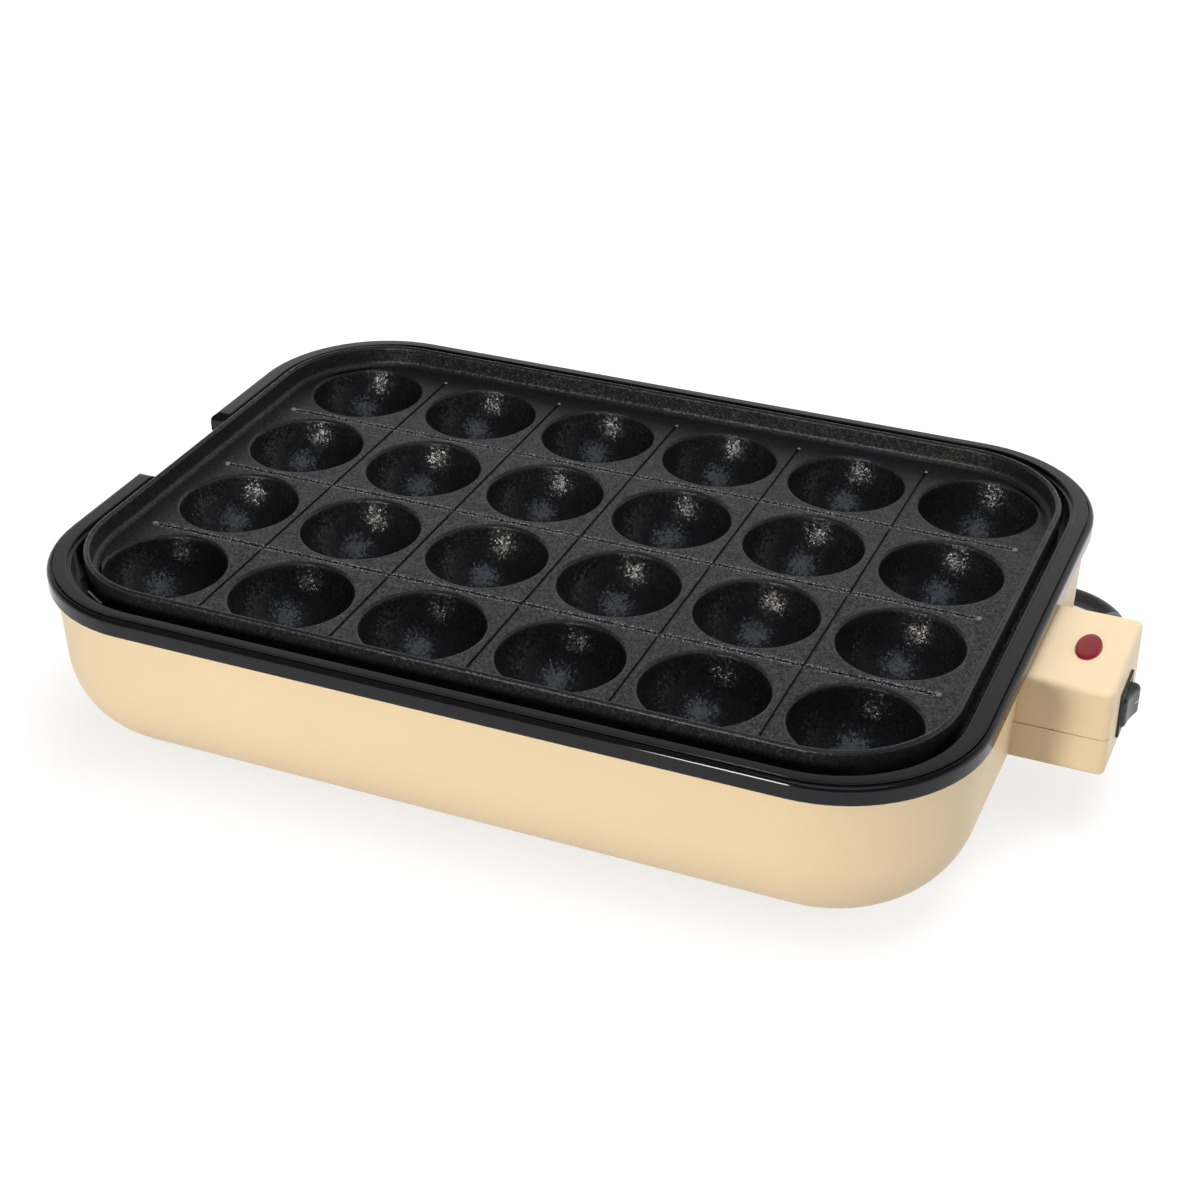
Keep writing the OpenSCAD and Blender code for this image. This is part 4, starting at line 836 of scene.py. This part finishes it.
# Colour, roughness, and where given the scale of the grain, the spread of the colour, the grain's depth in
# millimetres and whether it is metal
MATERIALS = {
    "nonstick": nonstick(),
    # Painted highlight: the pips at the groove ends get a coat painted light grey, for the glint on each dot.
    "pip_glint_grey": plastic("pip_glint_grey", (0.16, 0.16, 0.16), 0.25, 1500, 0.3, 0.05, cloud_scale=700),
    "gloss_black": plastic("gloss_black", (0.006, 0.006, 0.007), 0.07, 1400, 0.05, 0.001, cloud_scale=30,
                           mirror=0.28),
    "cream": plastic("cream", (0.9, 0.705, 0.44), 0.42, 1100, 0.012, 0.006),
    "rubber": plastic("rubber", (0.02, 0.02, 0.02), 0.75, 500, 0.1),
    "steel": plastic("steel", (0.5, 0.5, 0.52), 0.36, 300, 0.05, 0.01, 1.0),
    "ceramic": plastic("ceramic", (0.82, 0.79, 0.72), 0.5, 700, 0.03),
    "element_sheath": plastic("element_sheath", (0.22, 0.2, 0.19), 0.5, 400, 0.2, 0.02, 1.0),
    "phenolic": plastic("phenolic", (0.09, 0.04, 0.025), 0.5, 500, 0.1),
    "silicone": plastic("silicone", (0.45, 0.08, 0.05), 0.6, 500, 0.06),
    "red_lens": plastic("red_lens", (0.21, 0.008, 0.014), 0.2, 420, 0.08, 0.02, cloud_scale=120, mirror=0.35),
    "lamp_glass": plastic("lamp_glass", (0.9, 0.6, 0.4), 0.1, 200, 0.05, 0.01),
    "white_plastic": plastic("white_plastic", (0.8, 0.78, 0.72), 0.5, 600, 0.03),
    "switch_black": plastic("switch_black", (0.022, 0.022, 0.024), 0.33, 1300, 0.06, 0.01),
    "brass": plastic("brass", (0.75, 0.52, 0.22), 0.3, 300, 0.08, 0.01, 1.0),
    "cord_black": plastic("cord_black", (0.03, 0.03, 0.032), 0.45, 1100, 0.1, 0.01, cloud_scale=60),
    "glass_sleeve": plastic("glass_sleeve", (0.8, 0.76, 0.65), 0.8, 1500, 0.1, 0.1),
    "lead_red": plastic("lead_red", (0.5, 0.03, 0.025), 0.45, 600, 0.05),
}


def dress(piece, slot):
    """Gives a piece its only material."""
    piece.data.materials.clear()
    piece.data.materials.append(MATERIALS[slot])


def stand_in(piece, body, slot, *replaced):
    """Gives a piece its material and body, in place of CAD nodes."""
    dress(piece, slot)
    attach(piece, body)
    if replaced:
        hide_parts(*replaced)


for entry in frame["record"]["subparts"]:
    dress(nodes[entry["node"]], entry["material_slot"])

stand_in(build_plate(), "plate", "nonstick", "cooking_plate")
pips = build_pips()
stand_in(pips, "plate", "nonstick")
# The pips get the light grey coat, a painted highlight for their glint.
dress(pips, "pip_glint_grey")
stand_in(build_ring(), "base", "gloss_black", "guard_ring")
stand_in(build_lens(), "base", "red_lens", "lamp_lens")
box_top, box_bottom = build_box()
stand_in(box_top, "base", "cream", "box_upper")
stand_in(box_bottom, "base", "cream", "box_lower")
# CAD nodes with hard edges, the width of their rounding, their body and their slot
SOFTENED = (
    ("switch_housing", 0.3, "base", "switch_black"),
    ("plug_body", 0.8, "base", "cord_black"),
    ("plug_blades", 0.3, "base", "brass"),
    ("strain_relief", 0.2, "base", "cord_black"),
    ("cord_tie", 0.15, "base", "cord_black"),
    ("plate_locators", 0.4, "base", "steel"),
    ("rubber_feet", 0.5, "base", "rubber"),
)
soft = {}
for node, width, body, slot in SOFTENED:
    soft[node] = softened(node, width)
    smooth(soft[node], 35)
    stand_in(soft[node], body, slot, node)
stand_in(build_rocker(), "switch_rocker", "switch_black", "rocker")
stand_in(build_mark(), "switch_rocker", "white_plastic")
cord = build_cord()
stand_in(cord, "base", "cord_black", "cord_lead", "cord_coil", "cord_tail")

# ---------- Floor, light and background ----------

LAMP_AIM = Vector((0, 0, 0.05))


def background_rays(tree):
    """One for the rays that see the background: the camera's, and those by way of gloss and glass."""
    path = add_node(tree, "ShaderNodeLightPath")
    mirrored = math_node(tree, "MAXIMUM", path.outputs["Is Glossy Ray"], path.outputs["Is Transmission Ray"])
    return path.outputs["Is Camera Ray"], mirrored


def add_floor():
    """A pale floor that keeps the shadow and otherwise shows the background's white."""
    shape = Shape()
    far = 4000
    shape.cap(shape.loop([(-far, -far, 0), (far, -far, 0), (far, far, 0), (-far, far, 0)]))
    floor = mesh_piece("floor", shape)
    material, tree, shader = new_material("floor")
    shader.inputs["Base Color"].default_value = (0.4, 0.4, 0.4, 1)
    shader.inputs["Roughness"].default_value = 0.9
    camera_ray, mirrored = background_rays(tree)
    reach = vector_node(tree, "LENGTH", object_place(tree))
    glow = value_range(tree, reach, 0.7, 0.93, 0.2, 0.9)
    shader.inputs["Emission Color"].default_value = (1, 1, 1, 1)
    seen = math_node(tree, "MAXIMUM", camera_ray, mirrored)
    tree.links.new(math_node(tree, "MULTIPLY", seen, glow), shader.inputs["Emission Strength"])
    floor.data.materials.append(material)


def add_area(name, place, size, power, colour=(1, 1, 1), glossy=True):
    """An oval lamp aimed at the object. Without glossy it lights, but gloss doesn't show it."""
    data = bpy.data.lights.new(name, "AREA")
    data.shape = "ELLIPSE"
    data.size, data.size_y = size
    data.energy = power
    data.color = colour
    lamp = bpy.data.objects.new(name, data)
    bpy.context.scene.collection.objects.link(lamp)
    lamp.visible_glossy = glossy
    lamp.location = place
    lamp.rotation_mode = "QUATERNION"
    lamp.rotation_quaternion = (LAMP_AIM - Vector(place)).to_track_quat("-Z", "Y")


def add_world(light, ceiling):
    """White where the camera sees it, a plain soft light on the object, and for gloss and glass the white
    backdrop, high behind the object and low in front of it, under the studio's dark ceiling."""
    world = bpy.data.worlds.new("studio")
    bpy.context.scene.world = world
    world.use_nodes = True
    tree = world.node_tree
    camera_ray, mirrored = background_rays(tree)
    axes = axes_of(tree, add_node(tree, "ShaderNodeTexCoord").outputs["Generated"])
    height = math_node(tree, "SUBTRACT", axes["Z"], math_node(tree, "MULTIPLY", axes["Y"], 0.36))
    backdrop = value_range(tree, height, 1, ceiling, 0.1, 0.5)
    shown = math_node(tree, "MULTIPLY", mirrored, math_node(tree, "SUBTRACT", backdrop, light))
    white = math_node(tree, "MULTIPLY", camera_ray, 1 - light)
    total = math_node(tree, "ADD", math_node(tree, "ADD", shown, white), light)
    background = tree.nodes["Background"]
    background.inputs["Color"].default_value = (1, 1, 1, 1)
    tree.links.new(total, background.inputs["Strength"])


add_floor()
add_world(light=0.22, ceiling=0.05)
add_area("key", (-0.12, -0.87, 0.22), (0.14, 0.3), 4.2, (1, 0.97, 0.92))
add_area("top", (0.1, 0.12, 0.9), (0.9, 0.9), 4.7, glossy=False)
add_area("rear", (-0.2, 1.05, 0.45), (0.6, 0.5), 4.5, glossy=False)
add_area("sheen", (0.14, -0.15, 0.7), (0.5, 0.5), 1, (0.72, 0.8, 1))
add_area("side", (0.9, 0.1, 0.3), (0.5, 0.4), 2, glossy=False)
bpy.context.scene.view_settings.view_transform = "Standard"
